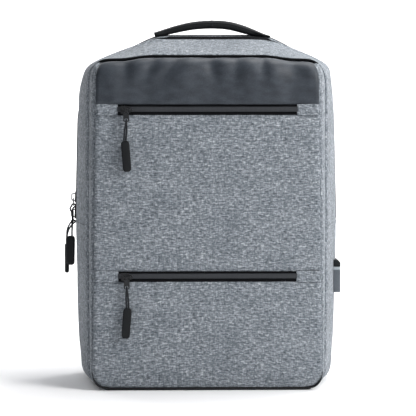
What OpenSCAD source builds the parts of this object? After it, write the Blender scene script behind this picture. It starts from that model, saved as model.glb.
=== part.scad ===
// Laptop backpack with a charging port on its right side.
// Origin: centre of the flat base. +X to the right seen from the front, +Y from front to back, +Z up.

/* [Bag body] */
// Width at the widest place, at the ends of the main zip
body_w = 300; // [240:1:380]
// Height of the back edge
body_h = 395; // [320:1:490]
// Height of the front compartment, at its piping
front_h = 371; // [300:1:460]
// Distance from the flat front face to the origin plane
front_depth = 63; // [50:1:90]
// Distance from the back edge to the origin plane
back_depth = 60; // [45:1:90]
// Narrowing of the front compartment's edge on each side
front_inset = 16.5; // [10:0.5:30]
// Half width of the level part of the top
top_flat = 66; // [40:1:90]
// Thickness of the padded cloth walls
wall = 2.4; // [1.6:0.1:4]
// Thickness of the dark base panel
base_t = 3; // [2:0.5:5]

/* [Main opening] */
// Height of the two ends of the main zip, where the upper front folds
fold_z = 182; // [140:1:240]
// Angle to which the upper front tips
fold_angle = 25; // [10:1:28]
// Straight travel of the upper main slider
main_travel = 88; // [40:1:100]
// Width of the main zip's chain with its tapes
main_zip_w = 9.4; // [9:0.2:12]

/* [Front pockets] */
// Height of the middle of the upper pocket's zip
upper_zip_z = 311.5; // [290:0.5:325]
// Height of the middle of the lower pocket's zip
lower_zip_z = 127.3; // [110:0.5:150]
// Height of the window that shows each pocket zip
window_h = 11.8; // [11:0.2:15]
// Length of each pocket zip
zip_l = 198; // [140:1:210]
// Half width of the front panel at its top
panel_top = 122; // [100:1:150]
// Half width of the front panel at its foot
panel_foot = 127.5; // [104:1:155]
// Gap between the two rows of coil, for the slider's post
row_gap = 1.2; // [1:0.1:2]

/* [Zip pulls] */
// Length of a slider
slider_l = 12; // [10:0.5:16]
// Width of a slider
slider_w = 8.6; // [7:0.2:10.5]
// Distance from a tab's pivot to its foot
tab_l = 13.2; // [11:0.2:16]
// Diameter of the pull's cord
cord_d = 2; // [1.6:0.1:2.2]
// Length of the moulded grip
grip_l = 34; // [24:1:44]
// Width of the moulded grip
grip_w = 9.4; // [7:0.2:12]
// Thickness of the moulded grip
grip_t = 4.4; // [3:0.2:6]

/* [Handle] */
// Distance between the ends of the carry handle
handle_l = 130; // [90:1:150]
// Height of the handle over the top edge
handle_rise = 16; // [14:1:40]
// Width of the handle
handle_w = 26; // [18:1:36]
// Thickness of the handle
handle_t = 9; // [5:0.5:9.5]

/* [Shoulder straps] */
// Width of a strap pad
strap_w = 62; // [45:1:75]
// Thickness of a strap pad
strap_t = 10; // [6:0.5:14]
// Length of a strap pad
strap_l = 250; // [180:1:270]
// Distance from the middle of the back to the middle of a pad's top
strap_x = 62; // [50:1:80]
// Width of the adjusting webbing
webbing_w = 25; // [20:1:38]

/* [Charging port] */
// Height of the port housing's foot
port_z = 102; // [60:1:130]
// Height of the housing and its cover together
port_h = 37; // [30:1:50]
// Width of the housing, front to back
port_w = 21; // [18:1:30]
// How far the housing stands out of the side
port_out = 6; // [5.8:0.1:10]
// Height of the cover at the housing's upper end
cover_h = 7.6; // [6:0.2:10]

/* [Hidden] */
clear = 0.3;             // gap between pieces that lie beside each other
piping_y = -40;          // depth of the piping round the front compartment
zip_y = 37;              // depth of the middle of the main zip, and of the fold's axis
half_w = body_w / 2;
front_w = half_w - front_inset;
shoulder_drop = 26;      // from the front compartment's top down to where the sides begin to turn
shoulder_z = front_h - shoulder_drop;
corner_w = 14;           // width of the rounded lower corner
corner_h = 17;           // height of the rounded lower corner
floor_z = base_t + clear;
fold_slope = tan(fold_angle + 2);    // the upper front starts above this slope, clear of the lower
pi_ring = 8;             // sides of a thin swept tube
piping_r = 1.4;
port_y = 8;              // depth of the middle of the port
lean = 3 / 110;          // the sides' inward slope over each millimetre of height, beside the main zip
slope_h = main_travel + 22;          // height of that straight slope: the slider's travel and some room
smooth_steps = 3;        // points on each stretch of a smoothed curve

// ---- colours ----
grey_cloth = "#9aa0a6";
dark_cloth = "#3a3f47";
black_cloth = "#17181b";
metal = "#55585c";
plastic = "#26282b";

// ---- points and faces ----
function flat(lists) = [for (l = lists) each l];
function unit(v) = v / norm(v);
function blend(a, b, t) = a + (b - a) * t;
function clamp01(t) = max(0, min(1, t));

// A Catmull-Rom curve through the points of p, in any number of dimensions.
function curve_point(a, b, c, d, t) =
    (2 * b + (c - a) * t + (2 * a - 5 * b + 4 * c - d) * t * t + (3 * b - a - 3 * c + d) * t * t * t) / 2;
function smooth(p, steps = smooth_steps) = let (n = len(p)) [
    for (i = [0 : n - 2], s = [0 : steps - 1])
        curve_point(p[max(i - 1, 0)], p[i], p[i + 1], p[min(i + 2, n - 1)], s / steps),
    p[n - 1]];

function backwards(p) = [for (i = [len(p) - 1 : -1 : 0]) p[i]];

// Moves an open 2D outline to its right-hand side by d.
function inset(p, d) = let (n = len(p)) [for (i = [0 : n - 1])
    let (u = unit(p[min(i + 1, n - 1)] - p[max(i - 1, 0)])) p[i] + d * [u[1], -u[0]]];

function on_depth(p, y) = [for (q = p) [q[0], y, q[1]]];

// A closed solid between two grids of points of the same size, outer and inner.
module sheet_solid(outer, inner) {
    r = len(outer);
    c = len(outer[0]);
    n = r * c;
    outer_quads = [for (i = [0 : r - 2], j = [0 : c - 2])
        [i * c + j, i * c + j + 1, (i + 1) * c + j + 1, (i + 1) * c + j]];
    inner_quads = [for (q = outer_quads) [q[3] + n, q[2] + n, q[1] + n, q[0] + n]];
    rim = concat([for (j = [0 : c - 1]) j], [for (i = [1 : r - 1]) i * c + c - 1],
        [for (j = [c - 2 : -1 : 0]) (r - 1) * c + j], [for (i = [r - 2 : -1 : 1]) i * c]);
    m = len(rim);
    rim_quads = [for (k = [0 : m - 1]) [rim[(k + 1) % m], rim[k], rim[k] + n, rim[(k + 1) % m] + n]];
    quads = concat(outer_quads, inner_quads, rim_quads);
    polyhedron(concat(flat(outer), flat(inner)),
        flat([for (q = quads) [[q[0], q[1], q[2]], [q[0], q[2], q[3]]]]), convexity = 10);
}

// A closed solid through closed rings of points, one after the other, with flat ends.
module ring_solid(rings) {
    r = len(rings);
    c = len(rings[0]);
    sides = [for (i = [0 : r - 2], j = [0 : c - 1])
        [i * c + j, (i + 1) * c + j, (i + 1) * c + (j + 1) % c, i * c + (j + 1) % c]];
    triangles = flat([for (q = sides) [[q[0], q[1], q[2]], [q[0], q[2], q[3]]]]);
    first = [for (j = [0 : c - 1]) j];
    last = [for (j = [c - 1 : -1 : 0]) (r - 1) * c + j];
    polyhedron(flat(rings), concat(triangles, [first, last]), convexity = 10);
}

// A round tube along a path of 3D points. across is a direction that the path never follows.
module tube(path, radius, across, sides = pi_ring) {
    n = len(path);
    ring_solid([for (i = [0 : n - 1]) let (
            u = unit(path[min(i + 1, n - 1)] - path[max(i - 1, 0)]),
            a = unit(cross(u, across)),
            b = cross(a, u))
        [for (k = [0 : sides - 1]) let (turn = 360 * k / sides)
            path[i] + radius * (cos(turn) * a + sin(turn) * b)]]);
}

// A flat strip of the given width along a path in a plane: normals lie across the strip's thickness.
module strap(path, width_axis, width, thickness) {
    n = len(path);
    ring_solid([for (i = [0 : n - 1]) let (
            u = unit(path[min(i + 1, n - 1)] - path[max(i - 1, 0)]),
            b = unit(cross(u, width_axis)),
            a = width_axis * width / 2,
            t = b * thickness / 2)
        [path[i] - a - t, path[i] + a - t, path[i] + a + t, path[i] - a + t]]);
}

module plate_xz(y0, y1) {
    translate([0, y1, 0]) rotate([90, 0, 0]) linear_extrude(y1 - y0) children();
}

module plate_yz(x0, x1) {
    translate([x0, 0, 0]) rotate([90, 0, 90]) linear_extrude(x1 - x0) children();
}

module rounded_square(w, h, r) {
    for (x = [-1, 1], y = [-1, 1]) translate([x * (w / 2 - r), y * (h / 2 - r)]) circle(r, $fn = 32);
    square([w - 2 * r, h], center = true);
    square([w, h - 2 * r], center = true);
}

// ---- the bag's outline at each depth ----
// How far from the front edge (0) to the main zip (1) a depth lies.
function depth_share(y) = clamp01((y - piping_y) / (zip_y - piping_y));
function edge_w(y) = blend(front_w, half_w, sin(90 * depth_share(y)))
    - 4.5 * clamp01((y - zip_y) / (back_depth - zip_y));
function top_z(y) = y < zip_y ? blend(front_h, body_h - 3, depth_share(y))
    : blend(body_h - 3, body_h, clamp01((y - zip_y) / (back_depth - zip_y)));

// Half width at height z and depth y: straight beside the main zip, in a little above and below it.
function side_x(z, y) = edge_w(y) - blend(0.15, 1, depth_share(y)) * (z < fold_z
    ? 7 * pow((fold_z - z) / fold_z, 2)
    : lean * (z - fold_z) + 5 * pow(max(0, (z - fold_z - slope_h) / (shoulder_z - fold_z - slope_h)), 2));

function side_points(z0, z1, y, steps) =
    [for (i = [0 : steps]) let (z = blend(z0, z1, i / steps)) [side_x(z, y), z]];

// Right half of the top: from the side's end over the shoulder to the middle.
function top_points(y) = let (x = side_x(shoulder_z, y), h = top_z(y), cx = x - 17, cz = shoulder_z + 21)
    smooth([[x, shoulder_z], [x - 4, shoulder_z + 12], [cx, cz],
        [(cx + top_flat) / 2, cz + (h - 2 - cz) * 0.55],
        [top_flat, h - blend(0.2, 2, depth_share(y))], [top_flat - 20, h], [0, h]]);

// The whole outline from height z0 on the left over the top to height z0 on the right.
function over_top(y, z0) = let (
        p = concat(side_points(z0, shoulder_z, y, 6), [for (i = [1 : 18]) top_points(y)[i]]))
    concat([for (q = p) [-q[0], q[1]]], [for (i = [len(p) - 2 : -1 : 0]) p[i]]);

// The outline from height z1 on the right down round the base to height z1 on the left.
function under_base(y, z1) = let (
        z0 = floor_z + corner_h, x = side_x(z0, y),
        side = backwards(side_points(z0, z1, y, 5)),
        corner = [for (a = [22.5 : 22.5 : 90]) [x - corner_w * (1 - cos(a)), z0 - corner_h * sin(a)]],
        p = concat(side, corner, [[x / 2, floor_z], [0, floor_z]]))
    concat(p, [for (i = [len(p) - 2 : -1 : 0]) [-p[i][0], p[i][1]]]);

// Height at which the upper front starts, at each depth, clear of the lower front over the fold.
function fold_line(y) = fold_z + 1 + fold_slope * (zip_y - y);

// A wall over the top or under the base, between rows of outlines at the given depths.
module top_wall(depths, starts, t) {
    outlines = [for (i = [0 : len(depths) - 1]) over_top(depths[i], starts[i])];
    sheet_solid([for (i = [0 : len(depths) - 1]) on_depth(outlines[i], depths[i])],
        [for (i = [0 : len(depths) - 1]) on_depth(inset(outlines[i], t), depths[i])]);
}

module base_wall(depths, z1, t) {
    outlines = [for (y = depths) under_base(y, z1)];
    sheet_solid([for (i = [0 : len(depths) - 1]) on_depth(outlines[i], depths[i])],
        [for (i = [0 : len(depths) - 1]) on_depth(inset(outlines[i], t), depths[i])]);
}

zip_front_y = zip_y - main_zip_w / 2;
zip_rear_y = zip_y + main_zip_w / 2;
gusset_front_y = piping_y + piping_r + clear;
gusset_depths = [gusset_front_y, -18, 8, zip_front_y - clear];

// The lower gusset is straight from beside the port back to the main zip, a flat seat for the port.
seat_y = port_y - port_w / 2 - 3;
function seat_x(z, y) = blend(side_x(z, seat_y), side_x(z, zip_y), (y - seat_y) / (zip_y - seat_y));

module lower_gusset() {
    color(grey_cloth) base_wall([gusset_front_y, -18, seat_y, zip_y, back_depth - clear], fold_z - 1, wall);
}

module upper_gusset() {
    color(grey_cloth) top_wall(gusset_depths, [for (y = gusset_depths) fold_line(y)], wall);
}

module rear_gusset() {
    depths = [zip_rear_y + clear, back_depth - clear];
    color(grey_cloth) top_wall(depths, [fold_z, fold_z], wall);
}

module main_zip_row(y0, y1, start) {
    color(black_cloth) top_wall([y0, y1], [start, start], 1.6);
}

// The front row starts a little higher, so that it clears the lower gusset as the front tips.
module main_zip_front_row() {
    main_zip_row(zip_front_y, zip_y - row_gap / 2, fold_z + 3);
}

module main_zip_rear_row() {
    main_zip_row(zip_y + row_gap / 2, zip_rear_y, fold_z + 1);
}

// ---- front compartment ----
// How far the rounded lower corner takes the edge in, at height z.
function corner_cut(z) =
    let (s = clamp01((floor_z + corner_h - z) / corner_h)) corner_w * (1 - sqrt(1 - s * s));
function panel_x(z) = blend(panel_foot, panel_top, z / shoulder_z) - corner_cut(z);

// The front is flat, a little eased at its foot, and turns back over its top to the piping.
turn_z = upper_zip_z + 22;
turn_h = front_h - 0.4 - turn_z;
turn_y = front_depth + piping_y - piping_r - clear;
function front_y(z) = -front_depth + 4 * pow(max(0, 1 - z / 30), 2)
    + turn_y * (1 - sqrt(1 - pow(clamp01((z - turn_z) / turn_h), 2)));

// A front panel between two heights, with its edges eased back by the turn into the side strips.
module front_wall(z0, z1, rows) {
    levels = [for (i = [rows : -1 : 0]) blend(z0, z1, i / rows)];
    across_front([for (z = levels) [front_y(z), z]], [for (z = levels) panel_x(z)]);
}

// A wall that follows a profile of depths and heights, from its top down, with a half width at each.
module across_front(profile, half_widths) {
    columns = [-1, -0.97, -0.5, 0, 0.5, 0.97, 1];
    inner = inset(profile, -wall);
    function ease(u) = abs(u) > 0.98 ? 1.2 : 0;
    rows = [for (i = [0 : len(profile) - 1]) i];
    sheet_solid(
        [for (i = rows) [for (u = columns) [u * half_widths[i], profile[i][0] + ease(u), profile[i][1]]]],
        [for (i = rows) [for (u = columns) [u * half_widths[i], inner[i][0] + ease(u), inner[i][1]]]]);
}

upper_window = [upper_zip_z - window_h / 2, upper_zip_z + window_h / 2];
lower_window = [lower_zip_z - window_h / 2, lower_zip_z + window_h / 2];

// The dark panel turns back to the piping, and narrows there as the piping goes round the shoulders.
module top_panel() {
    angles = [90 : -15 : 0];
    profile = concat([for (a = angles) [-front_depth + turn_y * (1 - cos(a)), turn_z + turn_h * sin(a)]],
        [[-front_depth, upper_window[1] + clear]]);
    half_widths = concat([for (a = angles) panel_top - (panel_top - 90) * pow(sin(a), 8)], [panel_top]);
    color(dark_cloth) across_front(profile, half_widths);
}

module middle_panel() {
    color(grey_cloth) front_wall(fold_line(-front_depth), upper_window[0] - clear, 2);
}

module middle_panel_foot() {
    color(grey_cloth) front_wall(lower_window[1] + clear, fold_z - 1, 2);
}

module lower_panel() {
    color(grey_cloth) front_wall(floor_z, lower_window[0] - clear, 5);
}

// Where a side strip meets the piping, at height z.
strip_top = shoulder_z + 12;
function strip_x(z) = side_x(min(max(z, floor_z + corner_h), shoulder_z), piping_y) - piping_r
    - corner_cut(z) - 4 * clamp01((z - shoulder_z) / (strip_top - shoulder_z));

// Strips from the front panel's edges back to the piping, one on each side. Each end has its own height.
module side_strips(front_z0, back_z0, z1, rows) {
    levels = [for (i = [0 : rows]) i / rows];
    outer = [for (f = backwards(levels)) let (
            za = blend(front_z0, z1, f),
            zb = blend(back_z0, z1, f),
            a = [panel_x(za) + wall, front_y(za) + 1.5, za],
            b = [strip_x(zb), piping_y - piping_r - clear, zb])
        [a, (a + b) / 2 + [1.5, -1.5, 0], b]];
    inner = [for (row = outer) [for (p = row) p + [-wall * 0.8, wall * 0.6, 0]]];
    for (s = [0, 1]) mirror([s, 0, 0]) sheet_solid(outer, inner);
}

module upper_side_strips() {
    color(grey_cloth) side_strips(fold_line(-front_depth), fold_line(piping_y), strip_top, 6);
}

module lower_side_strips() {
    z0 = floor_z + 2;
    color(grey_cloth) side_strips(z0, z0, fold_z - 1, 8);
}

// The soft stretch between the lower and the upper front, which crumples as the front tips.
module fold_band() {
    outline = [-front_depth + 6, piping_y, 0, zip_front_y - 5];
    color(grey_cloth) for (s = [-1, 1]) mirror([s < 0 ? 1 : 0, 0, 0]) {
        top = [for (y = outline)
            [side_x(fold_z + 10, max(y, piping_y)) - (y < piping_y ? 7 : 0), y, fold_line(y) - 2]];
        foot = [for (p = top) [p[0], p[1], fold_z - 0.6]];
        in = [-wall, 0, 0];
        sheet_solid([top, foot], [[for (p = top) p + in], [for (p = foot) p + in]]);
    }
    color(grey_cloth) plate_xz(-front_depth, -front_depth + wall)
        polygon([[-panel_x(fold_z), fold_z - 0.6], [panel_x(fold_z), fold_z - 0.6],
            [panel_x(fold_z), fold_line(-front_depth) - 1], [-panel_x(fold_z), fold_line(-front_depth) - 1]]);
}

// ---- piping ----
module upper_piping() {
    path = on_depth(inset(over_top(piping_y, fold_line(piping_y)), piping_r), piping_y);
    color(grey_cloth) tube(path, piping_r, [0, 1, 0], 6);
}

module lower_piping() {
    path = on_depth(inset(under_base(piping_y, fold_z - 1), piping_r), piping_y);
    color(grey_cloth) tube(path, piping_r, [0, 1, 0], 6);
}

// ---- base and back ----
base_w = half_w - corner_w - 8;      // half width of the base at its back
base_front_w = panel_foot - corner_w + 3;

module base_panel() {
    r = 8;
    color(black_cloth) linear_extrude(base_t) hull() for (s = [-1, 1]) {
        translate([s * (base_front_w - r), -front_depth + 2.5 + r]) circle(r, $fn = 32);
        translate([s * (base_w - r), back_depth - 2.5 - r]) circle(r, $fn = 32);
    }
}

module base_board() {
    depth = front_depth + back_depth - 36;
    color(plastic) translate([0, back_depth - depth / 2 - 10, floor_z + wall + clear])
        linear_extrude(2) rounded_square(2 * base_w - 20, depth, 10);
}

// The back's outline, the same as the gusset's rear edge, drawn as one closed shape.
function back_outline(d) =
    concat(inset(over_top(back_depth, fold_z), d), inset(under_base(back_depth, fold_z - 1), d));

module back_panel() {
    color(black_cloth) plate_xz(back_depth, back_depth + 4) polygon(back_outline(0));
}

module back_pads() {
    color(dark_cloth) {
        for (x = [-1, 1]) translate([x * 58, 0, 0]) plate_xz(back_depth + 4 + clear, back_depth + 12)
            translate([0, body_h * 0.52]) rounded_square(84, 120, 18);
        plate_xz(back_depth + 4 + clear, back_depth + 12)
            translate([0, body_h * 0.23]) rounded_square(200, 80, 18);
    }
}

// ---- inside ----
divider_y = piping_y + 2;

module upper_divider() {
    z0 = fold_line(divider_y) + 2;
    color(dark_cloth) plate_xz(divider_y, divider_y + 1.2)
        polygon(inset(over_top(piping_y, z0), wall + 2.4));
}

module lower_divider() {
    color(dark_cloth) plate_xz(divider_y, divider_y + 1.2)
        polygon(inset(under_base(piping_y, fold_z - 2), wall + 2.4));
}

module pocket_floor() {
    z = lower_window[1] + 8;
    y0 = -front_depth + wall + clear;
    w = 2 * (panel_x(z) - 4);
    color(dark_cloth) translate([-w / 2, y0, z]) cube([w, divider_y - clear - y0, 1.2]);
}

sleeve_w = min(2 * half_w - 52, 248);
sleeve_h = shoulder_z - 55;
sleeve_y = back_depth - 27;

module laptop_sleeve() {
    color(dark_cloth) difference() {
        translate([-sleeve_w / 2, sleeve_y, floor_z + wall + 3]) cube([sleeve_w, 26, sleeve_h]);
        translate([-sleeve_w / 2 + 2.4, sleeve_y + 2.4, floor_z + wall + 5.4])
            cube([sleeve_w - 4.8, 21.2, sleeve_h]);
    }
}

battery_x = half_w - 16;     // outer side of the battery pocket, clear of the gusset's rounded corner
battery_t = 18;
battery_wall = 1.4;

module battery_pocket() {
    z0 = floor_z + wall + 5;
    color(dark_cloth) difference() {
        translate([battery_x - battery_t, port_y - 22, z0]) cube([battery_t, 44, port_z - 24 - z0]);
        translate([battery_x - battery_t + battery_wall, port_y - 22 + battery_wall, z0 + battery_wall])
            cube([battery_t - 2 * battery_wall, 44 - 2 * battery_wall, port_z]);
    }
}

// ---- pocket zips ----
zip_face_y = -front_depth + 1;   // outer face of a pocket zip's tapes
coil_h = 2.2;                    // height of one row of coil
coil_t = 1.9;                    // thickness of the coil
tape_t = 0.8;                    // thickness of the tape

module pocket_zip_chain(z) {
    tape_h = window_h / 2 - clear - row_gap / 2;
    color(black_cloth) for (s = [-1, 1]) translate([0, 0, z + s * (row_gap / 2)]) {
        translate([-zip_l / 2, zip_face_y, s < 0 ? -tape_h : 0]) cube([zip_l, tape_t, tape_h]);
        translate([-zip_l / 2, zip_face_y - coil_t + tape_t, s < 0 ? -coil_h : 0])
            cube([zip_l, coil_t - 0.1, coil_h]);
    }
}

// Cloth tabs that close each end of a pocket zip's window.
module pocket_zip_tabs(z) {
    x0 = zip_l / 2 + clear;
    h = window_h - 2 * clear;
    w = panel_x(z) - x0 - clear;
    color(grey_cloth) for (s = [-1, 1]) translate([s > 0 ? x0 : -x0 - w, -front_depth + 0.4, z - h / 2])
        cube([w, 1.8, h]);
}

module upper_zip_chain() {
    pocket_zip_chain(upper_zip_z);
}

module upper_zip_tabs() {
    pocket_zip_tabs(upper_zip_z);
}

module lower_zip_chain() {
    pocket_zip_chain(lower_zip_z);
}

module lower_zip_tabs() {
    pocket_zip_tabs(lower_zip_z);
}

// ---- sliders and pulls ----
// A slider lies in the XZ plane with its length along X and its front towards -Y; y = 0 is the tape's face.
plate_t = 1.1;
front_plate_y = -coil_t - clear;      // inner face of the slider's front plate
rear_plate_y = tape_t + clear + 0.4;  // inner face of the slider's rear plate
bridge_h = 4.4;                       // height of the bridge over the front plate
bridge_w = 1.5;                       // width of the bridge
bridge_t = 1.2;                       // thickness of the bridge's bar
face_y = front_plate_y - plate_t;     // outer face of the front plate
bar_y = face_y - bridge_h + bridge_t / 2;   // middle of the bridge's bar

module slider() {
    color(metal) {
        plate_xz(front_plate_y - plate_t, front_plate_y) slider_outline();
        plate_xz(rear_plate_y, rear_plate_y + plate_t) slider_outline();
        translate([-slider_l / 2 + 1, front_plate_y - 0.2, -0.3])
            cube([2.4, rear_plate_y - front_plate_y + 0.4, 0.6]);
        bridge();
    }
}

module slider_outline() {
    hull() {
        translate([-slider_l / 2 + 3, 0]) square([6, slider_w], center = true);
        translate([slider_l / 2 - 2, 0]) circle(slider_w / 2 - 1.6, $fn = 24);
    }
}

// The arch over the slider's front plate, along the slider, which holds the pull's tab.
module bridge() {
    foot = face_y + 0.1;
    top = face_y - bridge_h;
    translate([0, 0, -bridge_w / 2]) linear_extrude(bridge_w) difference() {
        polygon([[-4.6, foot], [-4.6, top + 1.6], [-3, top], [3, top], [4.6, top + 1.6], [4.6, foot]]);
        polygon([[-3.4, foot + 1], [-3.4, top + 2.2], [-2.4, top + bridge_t], [2.4, top + bridge_t],
            [3.4, top + 2.2], [3.4, foot + 1]]);
    }
}

// Each pull is drawn with its pivot at the origin, hanging down, with its outer side towards -Y.
tab_t = 1.1;
tab_w = 6.4;
bar_r = 0.7;                  // radius of a main tab's own bar
slot_h = 2.6;                 // height of the cord's slot
foot_t = 1.1;                 // metal left below that slot
pocket_slot = -tab_l + foot_t + slot_h / 2 + 0.1;    // height of the cord in a pocket pull's slot
main_slot = -6.3;                                    // and in a main pull's, just below the bridge

// The lower end of a tab: a plate from height top to just below the cord's slot.
module tab_foot(top, slot) {
    foot = slot - slot_h / 2 - foot_t;
    plate_xz(-tab_t / 2, tab_t / 2) difference() {
        translate([0, (top + foot) / 2]) rounded_square(tab_w, top - foot, 1.6);
        translate([0, slot - 0.1]) rounded_square(3.4, slot_h, 0.8);
    }
}

// A pocket pull's tab hangs on a ring round the bridge's bar.
module pocket_tab() {
    color(metal) {
        translate([-1.5, 0, 0]) rotate([0, 90, 0]) difference() {
            cylinder(h = 3, r = 1.8, $fn = 32);
            translate([0, 0, -1]) cylinder(h = 5, r = bridge_w / 2 + 0.35, $fn = 32);
        }
        translate([-1.5, -tab_t / 2, -3.2]) cube([3, tab_t, 1.8]);
        tab_foot(-2.6, pocket_slot);
    }
}

// A main pull's tab turns on its own bar through the bridge, and its two arms pass the bridge's foot.
module main_tab() {
    arm_w = 1.8;
    color(metal) {
        translate([-tab_w / 2, 0, 0]) rotate([0, 90, 0]) cylinder(h = tab_w, r = bar_r, $fn = 24);
        for (s = [-1, 1]) translate([s * (tab_w - arm_w) / 2 - arm_w / 2, -tab_t / 2, -5.2])
            cube([arm_w, tab_t, 5.2]);
        tab_foot(-3.9, main_slot);
    }
}

// A pull's cord is one loop through the tab's slot, whose two strands come down side by side into the
// grip. Its route is a list of [sideways, outwards, below the slot].
loop_r = 2.2;                 // radius of the bend over the tab's foot
strand_x = cord_d / 2 + 0.1;
upper_pocket_route = [[-0.2, 0, 5.5], [-0.6, 0.2, 12], [-1.2, 0.4, 19], [-1.5, 0.4, 23]];
lower_pocket_route = [[0.1, 0, 5.5], [0.4, 0.2, 12], [0.8, 0.4, 19], [1, 0.4, 23]];
main_upper_route = [[4.4, 2.2, 5.2], [6.8, 1, 10], [8.5, 1, 19], [9, 1.5, 31], [9, 1.5, 36]];
main_lower_route = [[-1.5, 3, 5.5], [-3, 6.5, 12], [-5, 8, 22], [-5.5, 8, 28]];

function strand(route, slot, s) = [for (i = [0 : len(route) - 1]) let (p = route[i])
    [p[0] + s * strand_x * min(1, 0.5 + i * 0.5), s * max(0, 1.6 - i * 0.8) - p[1], slot - p[2]]];

module pull_cord(route, slot) {
    bend = [for (a = [180 : -30 : 0]) [0, loop_r * cos(a), slot - loop_r + loop_r * sin(a)]];
    color(black_cloth)
        tube(concat(backwards(strand(route, slot, -1)), bend, strand(route, slot, 1)), cord_d / 2, [1, 0, 0], 8);
}

module grip(route, slot) {
    end = route[len(route) - 1];
    color(plastic) translate([end[0], -end[1] + grip_t / 2, slot - end[2] - grip_l / 2])
        rotate([90, 0, 0]) linear_extrude(grip_t) hull() {
            for (x = [-1, 1]) translate([x * (grip_w / 2 - 2.4), -grip_l / 2 + 2.4]) circle(2.4, $fn = 24);
            for (x = [-1, 1]) translate([x * (grip_w / 2 - 1.2), grip_l / 2 - 8]) circle(1.2, $fn = 24);
            translate([0, grip_l / 2 - 0.6]) square([5.6, 1.2], center = true);
        }
}

// ---- where the sliders and pulls are ----
pocket_slider_x = -zip_l / 2 + slider_l / 2 + 4;

module at_pocket_zip(z) {
    translate([pocket_slider_x, zip_face_y, z]) children();
}

module at_pocket_pivot(z) {
    at_pocket_zip(z) translate([0, bar_y, 0]) children();
}

// The main sliders are on the left side. Their length runs up the zip, and their front faces -X.
main_face_x = half_w - 1.6;          // inner face of the zip's rows at the fold
lean_angle = atan(lean);
side_bar_y = face_y - 1.7;           // the main tab's bar lies between the bridge and the slider
side_bar_z = -1.7;                   // and below the slider's middle
main_lower_z = fold_z + slider_l / 2 + 2;
main_upper_z = main_lower_z + slider_l + 6.6;

module on_left_zip(z) {
    translate([-(main_face_x - lean * (z - fold_z) + 0.4), zip_y, z]) children();
}

module main_slider(z) {
    on_left_zip(z) rotate([0, lean_angle, 0]) rotate([0, 0, -90]) rotate([0, -90, 0]) slider();
}

module at_main_pivot(z) {
    on_left_zip(z) rotate([0, 0, -90]) translate([0, side_bar_y, side_bar_z]) children();
}

module upper_pocket_slider() {
    at_pocket_zip(upper_zip_z) slider();
}

module upper_pocket_tab() {
    at_pocket_pivot(upper_zip_z) pocket_tab();
}

module upper_pocket_cord() {
    at_pocket_pivot(upper_zip_z) pull_cord(upper_pocket_route, pocket_slot);
}

module upper_pocket_grip() {
    at_pocket_pivot(upper_zip_z) grip(upper_pocket_route, pocket_slot);
}

module lower_pocket_slider() {
    at_pocket_zip(lower_zip_z) slider();
}

module lower_pocket_tab() {
    at_pocket_pivot(lower_zip_z) pocket_tab();
}

module lower_pocket_cord() {
    at_pocket_pivot(lower_zip_z) pull_cord(lower_pocket_route, pocket_slot);
}

module lower_pocket_grip() {
    at_pocket_pivot(lower_zip_z) grip(lower_pocket_route, pocket_slot);
}

module main_upper_slider() {
    main_slider(main_upper_z);
}

module main_upper_tab() {
    at_main_pivot(main_upper_z) main_tab();
}

module main_upper_cord() {
    at_main_pivot(main_upper_z) pull_cord(main_upper_route, main_slot);
}

module main_upper_grip() {
    at_main_pivot(main_upper_z) grip(main_upper_route, main_slot);
}

module main_lower_slider() {
    main_slider(main_lower_z);
}

module main_lower_tab() {
    at_main_pivot(main_lower_z) main_tab();
}

module main_lower_cord() {
    at_main_pivot(main_lower_z) pull_cord(main_lower_route, main_slot);
}

module main_lower_grip() {
    at_main_pivot(main_lower_z) grip(main_lower_route, main_slot);
}

// ---- handle and straps ----
module handle() {
    half = handle_l / 2;
    y = back_depth - 6;
    z = body_h + 1.2;
    mid = handle_t / 2;
    path = smooth([[-half, y, z + 1.5], [-half * 0.75, y, z + handle_rise * 0.35],
        [-half * 0.4, y, z + handle_rise - mid - 2.6],
        [0, y, z + handle_rise - mid - 1], [half * 0.4, y, z + handle_rise - mid - 2.6],
        [half * 0.75, y, z + handle_rise * 0.35], [half, y, z + 1.5]], 2);
    n = len(path);
    color(black_cloth) ring_solid([for (i = [0 : n - 1]) let (
            t = (abs(i / (n - 1) - 0.5) > 0.36 ? 3 : handle_t) / 2,
            w = handle_w / 2)
        [for (q = [[-1, -0.5], [-0.7, -1], [0.7, -1], [1, -0.5], [1, 0.5], [0.7, 1], [-0.7, 1], [-1, 0.5]])
            path[i] + [0, q[0] * w, q[1] * t]]]);
}

yoke_z = body_h - 34;           // height of the strap hinge line
strap_y = back_depth + 12 + clear + strap_t / 2;

module strap_yoke() {
    color(black_cloth) translate([-(strap_x + strap_w / 2), back_depth + 4 + clear, yoke_z + 1])
        cube([2 * strap_x + strap_w, 14, 18]);
}

// Where each pad's middle line runs: down the back, bowing outwards a little.
function pad_path() = [for (i = [0 : 8]) let (f = i / 8)
    [strap_x + 26 * sin(120 * f), strap_y + 14 * sin(180 * f), yoke_z - strap_l * f]];

module strap_pad() {
    path = pad_path();
    color(black_cloth) strap(path, [1, 0, 0], strap_w, strap_t);
}

pad_end = pad_path()[8];
lock_z = pad_end[2] - 12;

module ladder_lock() {
    color(plastic) translate([pad_end[0], pad_end[1], lock_z]) difference() {
        translate([0, 2, 0]) plate_xz(-2, 2) rounded_square(webbing_w + 8, 22, 2);
        for (z = [-7, 0, 7]) translate([0, 2, z]) plate_xz(-3, 3) square([webbing_w + 1, 3.6], center = true);
    }
}

anchor_z = 14;

module webbing() {
    color(black_cloth) strap([[pad_end[0], pad_end[1] + 1, lock_z - 11 - clear],
        [pad_end[0] + 4, pad_end[1] - 3, lock_z - 30],
        [pad_end[0] + 10, back_depth + 14.5, anchor_z + 40], [pad_end[0] + 12, back_depth + 8, anchor_z + 20]],
        [1, 0, 0], webbing_w, 1.6);
}

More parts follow.
